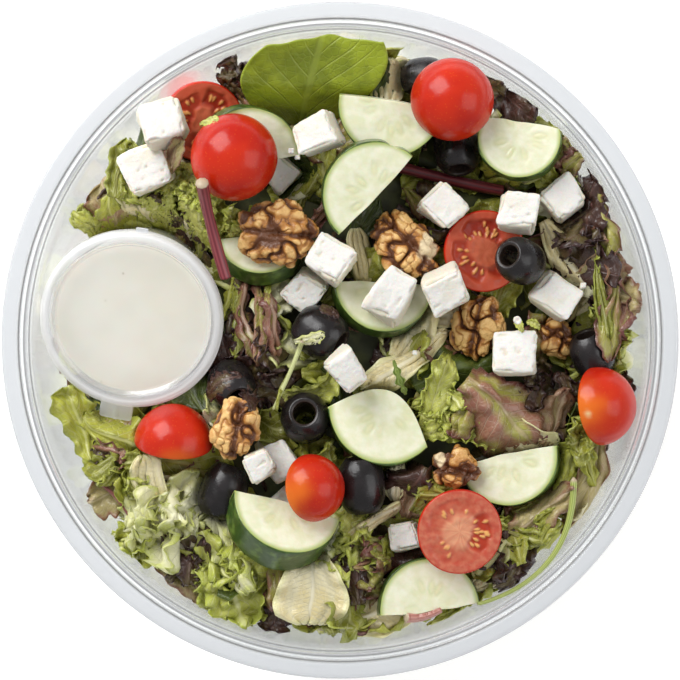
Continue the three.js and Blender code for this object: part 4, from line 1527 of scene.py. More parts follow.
def toppings() -> list[Topping]:
    """Every topping that is a solid of its own: its number, the turn that its solid has (the seventh
    piece of cucumber leans 8 degrees more), and its sizes.

    Returns:
        The toppings, kind by kind.
    """
    return [
        Tomato(1, 162, 120, r=13.2, cut_up=True),
        Tomato(2, 8, 20, r=14),
        Tomato(3, 6, 90, r=13.3),
        Tomato(4, 170, 150, r=13.2, cut_up=True),
        Tomato(5, 58, 8, r=12.6, orange=(77, -22, 9), scar=(79, -23.5, 1.2)),
        Tomato(6, 44, 10, r=10.9, orange=(-17, -49, 8.5)),
        Tomato(7, 173, 120, r=13.6, cut_up=True, first=62, pockets=(1, 0.35, 0.4)),
        Tomato(8, 68, 85, r=12.7, orange=(-52, -43, 8)),
        Olive(1, 36, 157, r=7.4, length=17),
        Olive(2, 66, 275, r=7.5, length=16),
        Olive(3, 70, 5, r=6.4, length=15),
        Olive(4, 72, 330, r=8.2, length=17.6),
        Olive(5, 14, 100, r=8, length=17),
        Olive(6, 84, 95, r=7.6, length=19.5),
        Olive(7, 90, 70, r=7.6, length=19),
        Olive(8, 70, 110, r=7, length=16),
        Olive(9, 40, 300, r=7.4, length=17),
        FetaCube(1, 6, 180, 24, size=(15.5, 14, 12), pits=0.9),
        FetaCube(2, 10, 120, 20, size=(13.6, 15, 11), pits=0.8),
        FetaCube(3, 12, 165, 25, size=(13.6, 11.6, 11.6), pits=0.1),
        FetaCube(4, 8, 200, 40, size=(11, 11, 10)),
        FetaCube(5, 4, 0, 47, size=(12.4, 12.6, 11), pits=0.2),
        FetaCube(6, 7, 80, -10, size=(13.6, 11.2, 11.5)),
        FetaCube(7, 8, 100, 34, size=(11, 11.2, 11.2)),
        FetaCube(8, 10, 110, -33, size=(13.4, 12, 12), pits=0.6),
        FetaCube(9, 12, 240, -36, size=(11, 12, 10), pits=0.8),
        FetaCube(10, 5, 60, -30, size=(13, 16, 12.5), pits=0.5),
        FetaCube(11, 8, 300, 25, size=(13, 12.4, 12)),
        FetaCube(12, 9, 60, -38, size=(13, 12.6, 12), pits=0.2),
        FetaCube(13, 16, 290, 34, size=(10.6, 11.2, 10.6), pits=0.2),
        FetaCube(14, 10, 80, 2, size=(14, 13.4, 12), pits=0.6),
        FetaCube(15, 9, 120, 32, size=(11.6, 11.4, 10.5)),
        FetaCube(16, 8, 200, 30, size=(8.4, 8.8, 9)),
        FetaCube(17, 5, 90, 38, size=(9.6, 10, 9.4), pits=0.1),
        FetaCube(18, 8, 200, 20, size=(9.6, 9.6, 9)),
        CucumberSlice(1, 20, 320, r=17.3, thick=6.5, arc=95),
        CucumberSlice(2, 8, 260, r=17, thick=6.6, arc=-100),
        CucumberSlice(3, 10, 290, r=17.2, thick=7, arc=137, dent=(70, 1.3, 9)),
        CucumberSlice(4, 9, 130, r=13.4, thick=8, arc=-99, cut=-4.4),
        CucumberSlice(5, 16, 60, r=16, thick=8, arc=-92),
        CucumberSlice(6, 7, 60, r=18.6, thick=9, arc=-112, cut=7, bulge=12.5),
        CucumberSlice(7, 38, 62, r=17.8, thick=11, arc=-103),
        CucumberSlice(8, 9, 20, r=16.4, thick=7, arc=97),
        CucumberSlice(9, 10, 160, r=16.2, thick=8, arc=-78),
        CucumberSlice(10, 30, 90, r=13.6, thick=8, arc=-88),
        Walnut(1, 8, 240, -5, size=(27.4, 23.6, 13)),
        Walnut(2, 16, 50, -45, size=(27, 20, 12.5), broken=(28.5, 30, 5), dark=0.12),
        Walnut(3, 10, 160, 78, size=(22, 17.6, 11)),
        Walnut(4, 10, 30, -38, size=(16, 12.4, 10)),
        Walnut(5, 10, 300, 80, size=(21, 16, 12)),
        Walnut(6, 8, 200, -18, size=(17, 14.6, 10), broken=(31, -37, 3.5), dark=0.25),
    ]


@dataclass
class Sprig:
    """A thin bare stem of a salad leaf, that lies on top and follows what is under it."""

    name: str
    points: list[Place]
    r: float
    dark: Colour
    light: Colour

    def build(self, room: "Room") -> None:
        """Makes the stem, thinner towards its far end.

        Args:
            room: The map of how high the toppings reach.
        """
        t = np.linspace(0, 1, 60)
        path = bezier(*np.array(self.points, float), t)
        i, j = room.squares(path[:, 0], path[:, 1])
        path[:, 2] = np.maximum(path[:, 2], room.roof[j, i] + self.r)
        path[:, 2] = np.convolve(np.pad(path[:, 2], 4, mode="edge"), np.ones(9) / 9, mode="valid")
        ends = np.minimum(1, np.sqrt(np.minimum(t, 1 - t) / 0.02 + 0.05))
        ribs = 0.06 * np.cos(5 * circle(20))
        shell = tube(path, self.r * (1.1 - 0.5 * t) * ends, ribs)
        finish = StemFinish(self.name + "_skin", self.dark, self.light)
        make_piece(self.name, shell, finish.material(), ("salad_leaves",))


SPRIGS = [
    Sprig("rocket_stem", [(75, -44, 57), (76, -76, 55), (44, -85, 56)], 1.0,
          (0.26, 0.33, 0.06), (0.48, 0.54, 0.16)),
    Sprig("pink_stem", [(21, -89, 50), (27, -90, 51), (32.5, -86.5, 52)], 1.5,
          (0.42, 0.17, 0.14), (0.52, 0.25, 0.2)),
    Sprig("pale_stem", [(-12, 0, 58), (-15, -9, 59), (-21.5, -22.5, 57)], 0.8,
          (0.5, 0.55, 0.2), (0.7, 0.72, 0.38)),
    Sprig("purple_stem", [(-82, -43, 50), (-72, -48, 54), (-66, -60, 53)], 0.7,
          (0.2, 0.05, 0.05), (0.34, 0.12, 0.1)),
]


def crumbs() -> Shell:
    """Small crumbs of cheese that have fallen between the toppings, and a larger one on a cube.

    Returns:
        The crumbs, joined.
    """
    made = []
    on_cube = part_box("feta_14")[1].z / MM + 0.66
    places = ((-15.6, 60.5, 61, 1.9), (-13.7, 58.6, 60, 1.5), (78, 17.5, 58, 1.8), (56.5, 6.2, on_cube, 2.2),
              (24, -4, 57, 1.4))
    for n, (*place, size) in enumerate(places):
        cube = cube_shell(9)
        p = cube.points
        worn = p / ((np.abs(p) ** 5).sum(1) ** 0.2)[:, None] * size / 2
        worn *= 1 + 0.35 * noise(worn + 10 * n, 1.2, n)[:, None]
        plain = np.zeros(len(p))
        made.append(Shell(worn + np.array(place), cube.quads, data={"pit": plain, "side": plain}))
    return joined(made)


FINISHES: dict[str, Finish] = {
    "tomato": TomatoFinish(),
    "olive": OliveFinish(),
    "feta": FetaFinish(),
    "cucumber": CucumberFinish(),
    "walnut": WalnutFinish(),
}
PALE_TOMATO = TomatoFinish("pale_cherry_tomato", flesh=(0.5, 0.085, 0.05), core=(0.74, 0.36, 0.2),
                           jelly=(0.42, 0.04, 0.015), seed=(0.76, 0.4, 0.12))


@dataclass
class Stalk:
    """A bare red leaf stalk, through three points that its solid's box puts in place."""

    name: str
    points: list[Place]
    dark: Colour
    light: Colour
    r: float = 1.9

    def build(self) -> Shell:
        """Makes the stalk, with fine ribs and a little swelling at its cut end.

        Returns:
            Its surface.
        """
        t = np.linspace(0, 1, 90)
        path = bezier(*np.array(self.points, float), t)
        swell = 1 + 0.12 * bell(t, 0.06) + 0.05 * np.sin(9 * t + 1)
        ends = np.minimum(1, np.sqrt(np.minimum(t, 1 - t) / 0.012 + 0.02))
        ribs = 0.045 * np.cos(9 * circle(36))
        shell = tube(path, self.r * 0.95 * swell * ends, ribs).centred_on(self.name)
        finish = StemFinish(self.name + "_skin", self.dark, self.light)
        make_piece("leaf_stalk_" + self.name[-1], shell, finish.material(), (self.name,))
        return shell


STALKS = [
    Stalk("red_stem_1", [(-44.8, 53, 18), (-43.4, 42, 3), (-37.6, 22.5, 0)],
          (0.16, 0.02, 0.03), (0.3, 0.06, 0.07)),
    Stalk("red_stem_2", [(16.5, 57.2, 0.6), (36, 51.6, 1.6), (53.4, 48.6, 0)],
          (0.1, 0.012, 0.02), (0.19, 0.03, 0.035)),
]


@dataclass
class SpinachLeaf:
    """The large smooth leaf that leans on the wall and folds down among the others."""

    x: float = -7.0
    y: float = 70.4
    z: float = 46.0
    half_width: float = 23.0
    length: float = 26.4
    rise: float = 12.0
    thick: float = 0.5

    def build(self) -> Shell:
        """Makes the leaf: its half-width is 23 sin(pi(0.1 + 0.74 w))^0.8, where w is v put off a little,
        and more on the right; it rises by 12 v^0.8, and under a bowed crease it turns down.

        Returns:
            Its surface.
        """
        u, v = np.meshgrid(np.linspace(-1, 1, 66), np.linspace(0, 1, 54))
        late = v * np.where(u > 0, 0.8, 0.87)
        width = self.half_width * np.sin(np.pi * (0.1 + 0.74 * late)) ** 0.8
        crease = 0.45 + 0.1 * u * u
        fold = -11 * (np.maximum(crease - v, 0) / crease) ** 1.4
        height = self.rise * v**0.8 + 2.2 * u * u * (0.4 + v) + fold + 4.6
        droop = np.where(u > 0, 1.4, 4.0)
        x = u * width - 6 * (1 - v) + 1.2 * v
        y = self.length * v - droop * u * u * v
        grid = np.stack([x, y, height], axis=-1)
        edge = np.abs(u) ** 3
        grid[..., 1] += 0.6 * v * np.sin(5.2 * u + 0.8) + 0.3 * v * np.sin(11 * u)
        grid[..., 2] += 0.8 * noise(grid, 9, 3) + 0.35 * noise(grid, 4, 8)
        grid[..., 2] += edge * 0.8 * np.sin(9 * v + 2 * u) + 0.5 * bell(u, 0.05) * (1 - v)
        grid += np.array([self.x, self.y, self.z])
        # painted shade: the part that folds down under the crease takes more of the shade colour
        tone = np.full_like(u, 0.35) + 0.45 * (1 - smooth(v, 0.1, 0.4))
        marks = {"leaf": np.stack([u, v, tone], axis=-1), "edge": np.maximum(edge, smooth(v, 0.9, 1.0))}
        shell = thin_sheet(grid, self.thick, marks)
        finish = LeafFinish("spinach_blade", rib=(0.45, 0.53, 0.1), blade=(0.34, 0.41, 0.02),
                            shade=(0.19, 0.24, 0.012), margin=(0.36, 0.44, 0.03), margin_from=0.92,
                            vein=0.3, veins=4.0, roughness=0.42, sheen=0.1, through=0.2)
        make_piece("large_spinach_leaf", shell, finish.material(), ("spinach_leaf",))
        return shell


# ---- loose leaves ----


class Kind(Enum):
    """The leaves that the salad is mixed from."""

    GREEN = "green_lettuce"
    BRIGHT = "curly_lettuce"
    PALE = "heart_lettuce"
    IVORY = "pale_ribs"
    RED = "red_lettuce"
    DARK = "dark_lettuce"
    BROWN = "bronze_lettuce"
    BABY = "baby_spinach"
    ROCKET = "rocket_leaves"


@dataclass(frozen=True)
class Habit:
    """How the leaves of one kind grow, in millimetres and shares of their width."""

    finish: LeafFinish
    tip: float  # width at the tip
    belly: float  # where along the leaf it is widest
    ruffle: float  # height of the waves at the margin
    waves: float  # how many along one side
    crinkle: float
    lobes: float = 0.0
    lobe_count: float = 5.0
    thick: float = 0.45
    rib: float = 1.2  # thickness of the midrib
    pleat: float = 0.3  # height of the folds that run along the leaf
    pleats: float = 9.0  # how close together they are


HABITS = {
    Kind.GREEN: Habit(
        LeafFinish("green_lettuce_blade", (0.7, 0.69, 0.3), (0.46, 0.47, 0.055), (0.25, 0.26, 0.025),
                   (0.39, 0.43, 0.06), 0.7),
        0.55, 0.62, 2.4, 4.0, 1.1, 0.05, pleat=0.6),
    Kind.BRIGHT: Habit(
        LeafFinish("curly_lettuce_blade", (0.84, 0.83, 0.45), (0.65, 0.66, 0.15), (0.5, 0.53, 0.09),
                   (0.52, 0.58, 0.08), 0.55),
        0.75, 0.7, 3.4, 5.0, 1.1, 0.06, 6, pleat=0.7),
    Kind.PALE: Habit(
        LeafFinish("heart_lettuce_blade", (0.95, 0.93, 0.72), (0.93, 0.91, 0.62), (0.8, 0.8, 0.36),
                   (0.64, 0.68, 0.18), 0.62, 0.55, 7.0, 0.36, 0.35, 0.2),
        0.8, 0.7, 3.8, 3.6, 1.5, pleat=2.2, pleats=6.5),
    Kind.IVORY: Habit(
        LeafFinish("pale_rib_blade", (0.96, 0.91, 0.72), (0.92, 0.84, 0.55), (0.84, 0.72, 0.38),
                   (0.84, 0.8, 0.42), 0.7, 0.6, 14.0, 0.28, 0.4, 0.14),
        0.8, 0.6, 1.4, 2.0, 0.6, thick=0.9, rib=2.2, pleat=0.6, pleats=13),
    Kind.RED: Habit(
        LeafFinish("red_lettuce_blade", (0.6, 0.46, 0.32), (0.4, 0.38, 0.075), (0.35, 0.16, 0.1),
                   (0.18, 0.055, 0.045), 0.35, 0.5, 8.0, 0.28, 0.5),
        0.65, 0.65, 2.6, 4.0, 1.2, 0.08, 5, pleat=1.1, pleats=8),
    Kind.DARK: Habit(
        LeafFinish("dark_lettuce_blade", (0.2, 0.1, 0.08), (0.06, 0.026, 0.018), (0.12, 0.09, 0.03),
                   (0.035, 0.012, 0.013), 0.45, 0.4, 8.0, 0.3, 0.35, 0.08),
        0.7, 0.65, 3.2, 4.2, 1.1, 0.12, 5),
    Kind.BROWN: Habit(
        LeafFinish("bronze_lettuce_blade", (0.7, 0.58, 0.38), (0.47, 0.39, 0.16), (0.38, 0.22, 0.13),
                   (0.26, 0.11, 0.065), 0.6),
        0.6, 0.6, 1.8, 3.5, 1.2, 0.08, pleat=0.5),
    Kind.BABY: Habit(
        LeafFinish("baby_spinach_blade", (0.24, 0.3, 0.08), (0.085, 0.12, 0.014), (0.04, 0.06, 0.008),
                   (0.1, 0.14, 0.016), 0.85, 0.4, 5.0, 0.3, 0.35, 0.15),
        0.35, 0.55, 1.0, 2.0, 0.8),
    Kind.ROCKET: Habit(
        LeafFinish("rocket_blade", (0.4, 0.48, 0.14), (0.2, 0.28, 0.04), (0.12, 0.18, 0.024),
                   (0.18, 0.26, 0.035), 0.9, 0.6, 4.0),
        0.3, 0.7, 0.8, 2.0, 0.4, 0.55, 3.5),
}


@dataclass
class Leaf:
    """One leaf: its middle in plan, its height there, the bearing of its tip, and its size.

    Pitch lifts the tip, roll lifts the left side, and bend turns the tip up by so many degrees."""

    kind: Kind
    x: float
    y: float
    heading: float
    length: float
    width: float
    z: float = 50.0
    pitch: float = 0.0
    roll: float = 0.0
    bend: float = -20.0
    fold: float = 30.0  # how far each half turns up across the leaf
    over: bool = False  # lies on the toppings, not under them
    seed: int = 0

    columns: ClassVar[int] = 21
    rows: ClassVar[int] = 29

    def grid(self, fineness: float = 1.0) -> tuple[Array, dict[str, Array]]:
        """The blade, from these steps in turn: a width that swells to the belly and closes to the tip,
        with lobes; a cup across and a bend along, as an arc; waves that grow towards the margin; and
        crinkles of noise.

        Args:
            fineness: Share of the usual number of points each way.

        Returns:
            The middle surface about its own middle, and the values for its material.
        """
        habit = HABITS[self.kind]
        rng = np.random.default_rng(self.seed * 101 + 17)
        rows, columns = round(self.rows * fineness), round(self.columns * fineness)
        u, v = np.meshgrid(np.linspace(-1, 1, columns), np.linspace(0, 1, rows))
        swell = np.where(
            v < habit.belly,
            0.35 + 0.65 * np.sin(np.pi / 2 * v / habit.belly) ** 1.3,
            habit.tip + (1 - habit.tip) * np.cos(np.pi / 2 * (v - habit.belly) / (1 - habit.belly)),
        )
        swell *= np.sqrt(np.clip((1.02 - v) / 0.16, 0, 1)) ** 0.8
        lobe = np.cos(2 * np.pi * (habit.lobe_count * v + rng.uniform())) + 0.5 * noise(
            np.stack([np.sign(u) * 3, v * 9, 0 * v + self.seed], -1), 1.0, self.seed
        )
        swell = swell * (1 + habit.lobes * lobe * smooth(v, 0.1, 0.3))
        x = u * self.width / 2 * swell
        side = np.abs(u)
        bend = math.radians(self.bend)
        arc = v * bend if abs(bend) > 1e-3 else v * 1e-3
        rate = arc[-1, 0]
        y = self.length * np.sin(arc) / rate
        z = self.length * (1 - np.cos(arc)) / rate
        round_ = math.radians(self.fold) / (self.width / 2)
        z = z + (1 - np.cos(x * round_)) / round_
        x = np.sin(x * round_) / round_
        margin = np.maximum(side**2.2, v**5)
        phase = rng.uniform(0, 2 * np.pi, 4)
        wander = 1.2 * noise(np.stack([u * 2, v * 4, 0 * v + self.seed], -1), 1.0, self.seed + 9)
        wave = 2 * np.pi * min(habit.waves, rows / 6) * v + phase[0] + np.where(u > 0, phase[1], 0) + wander
        size = habit.ruffle * min(1.0, self.width / 18)
        z = z + size * margin * np.sin(wave) + 0.4 * size * margin * side * np.sin(2.3 * wave + phase[2])
        x = x + 0.25 * size * margin * np.cos(wave) * np.sign(u)
        z = z + size * v**4 * (1 - side**2) * np.sin(5 * u + phase[3])
        pleat = np.sin(habit.pleats * u + 2.5 * v * np.sin(3 * v + phase[2]) + phase[3]) * smooth(v, 0, 0.25)
        z = z + habit.pleat * pleat
        grid = np.stack([x, y, z], axis=-1)
        offset = np.array([self.seed * 13.7, self.seed * 5.1, 0])
        grid[..., 2] += habit.crinkle * 0.95 * fractal(grid + offset, 5.5, self.seed, 2)
        grid += habit.crinkle * 2.1 * noise_vector(grid + offset, 11.0, self.seed + 3)
        grid -= grid.reshape(-1, 3).mean(0)
        tone = rng.uniform(0, 1) + 0.45 * min(habit.pleat, 1.0) * pleat
        tip = smooth(v, 0.8, 1.0)
        return grid, {"leaf": np.stack([u, v, 0 * u + tone], axis=-1), "edge": np.maximum(side**1.3, tip)}

    def thickness(self, u: Array) -> Array:
        """Thin at the margin, and thick along the midrib: t + rib exp(-(u/0.16)^2), less 0.6 t |u|^4."""
        habit = HABITS[self.kind]
        return habit.thick * (1 - 0.6 * np.abs(u) ** 4) + habit.rib * bell(u, 0.16) * 0.5


@dataclass
class Room:
    """The space that the leaves may fill: inside the bowl, and under the toppings.

    The ceiling holds, for each half-millimetre square, the lowest underside over it, and it rises with
    the distance from there. The roof holds the highest point of a topping, and it falls away."""

    bowl: Bowl
    step: float = 0.5
    reach: float = 112.0
    slope: float = 1.9
    spread: int = 40  # squares over which the maps spread
    floor: float = 4.2
    from_wall: float = 0.9
    sink: float = 8.0  # how far a whole leaf may sink
    relief: float = 0.38  # share of its waves that a pressed leaf keeps, turned down
    deepest: float = 7.0  # height of the tallest wave that counts
    ceiling: Array = field(default_factory=lambda: np.zeros((0, 0)))
    roof: Array = field(default_factory=lambda: np.zeros((0, 0)))

    def measure(self, shells: list[Shell]) -> None:
        """Draws the map from the toppings' surfaces, by the lowest point in each square, then spreads it
        to the neighbouring squares again and again, a slope higher each time. A second map of the
        highest points is made the same way upside down.

        Args:
            shells: The toppings' surfaces.
        """
        side = int(2 * self.reach / self.step)
        low, high = np.full((side, side), 200.0), np.full((side, side), -200.0)
        for shell in shells:
            for points in (shell.points, shell.points[shell.quads].mean(1)):
                i, j = self.squares(points[:, 0], points[:, 1])
                np.minimum.at(low, (j, i), points[:, 2])
                np.maximum.at(high, (j, i), points[:, 2])
        rise = self.slope * self.step
        for _ in range(self.spread):
            for axis in (0, 1):
                for way in (1, -1):
                    low = np.minimum(low, np.roll(low, way, axis) + rise)
                    high = np.maximum(high, np.roll(high, way, axis) - rise)
        self.ceiling, self.roof = low, high

    def squares(self, x: Array, y: Array) -> tuple[Array, Array]:
        """Column and row of the square at each place."""
        places = ((np.stack([x, y]) + self.reach) / self.step).astype(int)
        return tuple(np.clip(places, 0, int(2 * self.reach / self.step) - 1))

    def settle(self, grid: Array, clear: float, over: bool) -> Array:
        """Presses a leaf under what lies above it, and inside the bowl: the leaf sinks until three quarters
        of it are clear, each point's height is then capped by the map less a clearance, and its
        distance from the axis by the wall. A leaf that lies over toppings is lifted onto them instead.

        Args:
            grid: Points of the leaf, by row and column.
            clear: Clearance under the toppings.
            over: Whether the leaf lies on the toppings.

        Returns:
            The points after that.
        """
        x, y, z = np.moveaxis(grid, -1, 0)
        i, j = self.squares(x, y)
        if over:
            under = self.roof[j, i] + 0.5
            z = np.maximum(z, under + 0.1 * (z - under.mean()))
        else:
            cap = self.ceiling[j, i] - clear
            z = z - np.clip(np.percentile(z - cap, 75), 0, self.sink)
            z = np.where(z > cap, cap - self.relief * np.minimum(z - cap, self.deepest), z)
        z = np.maximum(z, self.floor)
        away = np.hypot(x, y)
        limit = self.bowl.inner(z) - self.from_wall
        nearer = limit - 0.1 * np.minimum(away - limit, 8)
        pull = np.where(away > limit, nearer / np.maximum(away, 1e-6), 1.0)
        return np.stack([x * pull, y * pull, z], axis=-1)


def picked_leaves() -> list[Leaf]:
    """The leaves that show between the toppings, each laid where it belongs: its kind, middle in plan,
    heading, length, width, height, pitch and roll.

    Returns:
        The leaves.
    """
    g, br, pa, iv = Kind.GREEN, Kind.BRIGHT, Kind.PALE, Kind.IVORY
    re, da, bn, ba = Kind.RED, Kind.DARK, Kind.BROWN, Kind.BABY
    rows = [
        # upper left
        (g, -71, 55, 70, 22, 11, 52, 0, 10), (da, -50, 41, 200, 13, 8, 46, 10, 0),
        (bn, -75, 44, 110, 24, 16, 50, 0, 0), (da, -34, 84, 60, 14, 9, 50, 0, 0),
        (ba, 10, 83, 100, 22, 17, 52, 20, 0), (g, -11, 48, 60, 18, 6, 50, 20, 30),
        (g, -36, 13, 80, 22, 8, 52, 20, 50),
        # upper right
        (da, 55, 77, 330, 20, 12, 54, 10, 0), (da, 47, 82, 20, 14, 9, 52, 10, 0),
        (g, 62, 70, 310, 18, 9, 48, 0, 0), (pa, 19, 84, 60, 15, 10, 49, 0, 0),
        (da, 81, 44, 250, 24, 12, 54, 10, 20), (re, 85, 33, 265, 28, 12, 55, 10, 40),
        (da, 80, 24, 300, 20, 14, 50, 0, 0), (re, 89, 14, 272, 26, 10, 54, 10, 50),
        (g, 87, 4, 285, 22, 9, 52, 10, 40), (bn, 79, 17, 75, 26, 10, 53, 15, 40),
        (iv, 72, 28, 300, 24, 11, 54, 5, 0), (g, 84, 22, 85, 20, 8, 54, 20, 40),
        (da, 73, 36, 200, 16, 10, 50, 0, 0), (g, 60, 33, 20, 18, 10, 48, 0, 0),
        (g, 52, 14, 60, 20, 13, 50, 10, 0), (pa, 62, 26, 310, 18, 9, 51, 10, 10),
        # middle
        (ba, 38, -9, 20, 30, 22, 50, 5, 10), (iv, 23, 3, 60, 22, 16, 58, 10, 0),
        (iv, 21, -7, 215, 34, 12, 60, 5, 30), (iv, 7, 25, 95, 22, 8, 56, 0, 20),
        (br, 31, -17, 75, 27, 10, 55, 15, 0), (br, 36, -26, 350, 18, 12, 52, 0, 0),
        (g, -33.5, 7, 278, 28, 6.5, 55, 0, 55), (re, -30, 6.5, 276, 29, 7, 57, 0, -40),
        (re, -26, 6, 280, 29, 6.5, 58, 0, 40), (re, -22, 5.5, 284, 28, 7, 57.5, 0, -45),
        (g, -18, 5.5, 289, 27, 6.5, 56, 0, 50), (br, -9, -16, 30, 22, 10, 52, 5, 20),
        (g, -3, 14, 40, 9, 6, 50, 10, 0), (da, -32, -6, 200, 24, 16, 50, 10, 20),
        (da, -22, -14, 120, 20, 14, 50, 10, 0), (pa, -10, 0, 5, 15, 6, 56, 10, 20),
        (g, -3, -39, 100, 14, 6, 52, 10, 40), (ba, 8, 38, 60, 18, 10, 46, 0, 0),
        # right
        (re, 52, -23, 312, 33, 30, 58, -5, 0), (re, 41, -22, 250, 20, 12, 55, 0, 20),
        (bn, 69, -26, 75, 24, 12, 52, 10, 30), (da, 71, -17, 10, 16, 9, 51, 0, 0),
        (br, 42, -29, 150, 22, 13, 52, 5, 0),
        (g, 79, -36, 100, 20, 9, 52, 10, 30), (bn, 80, -49, 250, 34, 14, 48, 0, 20),
        (bn, 64, -56, 35, 26, 14, 53, 10, 0), (g, 56, -62, 340, 22, 9, 52, 5, 20),
        (da, 55, -72, 60, 17, 14, 51, 10, 0), (iv, 49, -76, 30, 16, 10, 48, 0, 0),
        (g, 73, -42, 75, 20, 8, 52, 5, 20), (g, 46, -80, 20, 14, 7, 49, 0, 0),
        # bottom
        (iv, 12, -88, 20, 26, 17, 54, 0, 0), (g, 35, -90, 20, 14, 7, 46, 0, 0),
        (iv, -9, -80, 268, 24, 25, 60, -3, 0), (br, -8, -73, 352, 24, 7, 64, 0, 50),
        (br, -7, -68, 10, 20, 7, 57, 10, 20), (pa, -2, -68, 250, 20, 5, 57, 0, 60),
        (da, 5, -75, 100, 18, 13, 54, 0, 0),
        (g, 9, -69, 340, 14, 8, 55, 10, 0), (iv, 11, -58, 25, 20, 5, 53, 0, 30),
        (iv, 18, -45, 260, 16, 7, 50, 0, 20), (bn, 24, -52, 80, 16, 10, 50, 0, 0),
        # lower left
        (g, -51, -41, 340, 36, 22, 54, 0, 0), (iv, -61, -47, 100, 21, 12, 55, 10, 0),
        (bn, -73, -50, 200, 20, 13, 50, 0, 0), (pa, -58, -52, 262, 20, 20, 57, 20, 0),
        (br, -64, -61, 228, 18, 14, 53, 0, 30), (pa, -53, -62, 268, 26, 11, 55, 10, 45),
        (g, -65, -66, 220, 22, 16, 50, 0, 0), (pa, -44, -60, 292, 32, 10, 56, 0, -40),
        (g, -50, -72, 300, 22, 9, 52, 0, 40), (pa, -36, -67, 300, 32, 10, 57, 5, 40),
        (br, -29, -62, 310, 26, 8, 55, 0, -40), (br, -37, -78, 290, 34, 19, 54, 0, 0),
        (bn, -48, -79, 320, 26, 14, 49, 0, 0), (g, -36, -87, 330, 20, 10, 48, 0, 0),
        (g, -26, -85, 20, 17, 11, 48, 0, 0), (re, -24, -70, 290, 30, 15, 54, 0, 20),
        (da, -50, -68, 20, 20, 12, 50, 0, 0), (g, -84, -27, 110, 26, 12, 52, 0, 20),
        (g, -72, -31, 330, 24, 15, 51, 0, 0), (da, -77, -35, 40, 12, 8, 50, 0, 0),
        (g, -42, -52, 20, 20, 12, 50, 0, 0), (da, -20, -88, 250, 16, 9, 49, 0, 0),
    ]
    return [Leaf(*row, seed=300 + n) for n, row in enumerate(rows)]


def draped_leaves() -> list[Leaf]:
    """The leaves and shreds that lie over a topping: kind, middle in plan, heading, length, width and height.

    Returns:
        The leaves.
    """
    rows = [
        (Kind.RED, 87, 6, 268, 26, 9, 57), (Kind.GREEN, 84, 12, 280, 22, 5, 58),
        (Kind.ROCKET, 19, -12, 287, 12, 2.6, 58), (Kind.GREEN, -16.5, -11, 250, 25, 1.8, 57),
        (Kind.PALE, -9, 0.5, 5, 13, 4.5, 58), (Kind.BRIGHT, 62, 5.2, 15, 6, 3.6, 58),
        (Kind.BRIGHT, 57.5, 4.6, 120, 4, 3, 58), (Kind.BRIGHT, -41.5, 69.5, 10, 5.5, 3, 58),
        (Kind.DARK, -38, -14, 200, 13, 7, 52), (Kind.DARK, -29, -18, 90, 12, 6, 52),
        (Kind.DARK, -3, 9, 160, 9, 5, 52), (Kind.BROWN, -53, 59, 60, 10, 6, 50),
    ]
    return [Leaf(*row, over=True, seed=500 + n) for n, row in enumerate(rows)]


# Curly small leaves that grow in tufts: kind, middle, how far they spread, how many, and their length.
TUFTS = [
    (Kind.BRIGHT, -52, 46, 12, 20, 11), (Kind.BRIGHT, -39, 36, 8, 10, 10), (Kind.GREEN, -48, 41, 10, 7, 11),
    (Kind.GREEN, 62, 68, 5, 3, 12), (Kind.DARK, -27, -10, 9, 6, 17), (Kind.BRIGHT, 33, -22, 8, 6, 11),
    (Kind.DARK, 81, 30, 8, 5, 18), (Kind.BROWN, 88, 12, 6, 4, 16), (Kind.GREEN, 86, 0, 6, 4, 13),
    (Kind.RED, 9, -74, 6, 4, 14), (Kind.GREEN, 25, -50, 6, 4, 11), (Kind.DARK, 56, -69, 7, 4, 14),
    (Kind.DARK, -33, 85, 6, 5, 11), (Kind.GREEN, 78, -34, 6, 5, 11), (Kind.BRIGHT, 2, -65, 6, 4, 11),
    (Kind.BRIGHT, -38, -80, 10, 8, 15), (Kind.PALE, -57, -57, 9, 8, 18), (Kind.DARK, -49, -69, 7, 7, 11),
    (Kind.GREEN, -70, -40, 8, 6, 11), (Kind.DARK, 66, -12, 7, 5, 10), (Kind.GREEN, 60, -60, 8, 6, 10),
    (Kind.GREEN, -78, 40, 6, 4, 11), (Kind.RED, 70, 60, 7, 5, 12), (Kind.GREEN, 90, -20, 4, 4, 11),
    (Kind.BRIGHT, -62, 46, 8, 8, 8), (Kind.BRIGHT, -46, 44, 6, 6, 7), (Kind.DARK, -55, 42, 8, 4, 7),
]


@dataclass(frozen=True)
class Layer:
    """One scatter of loose leaves: their number, the heights between which they lie, their usual length,
    how fine their meshes are, and how far out they begin as a share of the way to the edge."""

    name: str
    count: int
    low: float
    high: float
    length: float
    fineness: float
    least: float = 0.0


LAYERS = (
    Layer("deep", 60, 24, 34, 30, 0.58),
    Layer("deep", 90, 34, 43, 26, 0.6),
    Layer("middle", 120, 43, 52, 20, 0.76),
    Layer("upper", 64, 46, 54, 20, 0.76, 0.9),
)


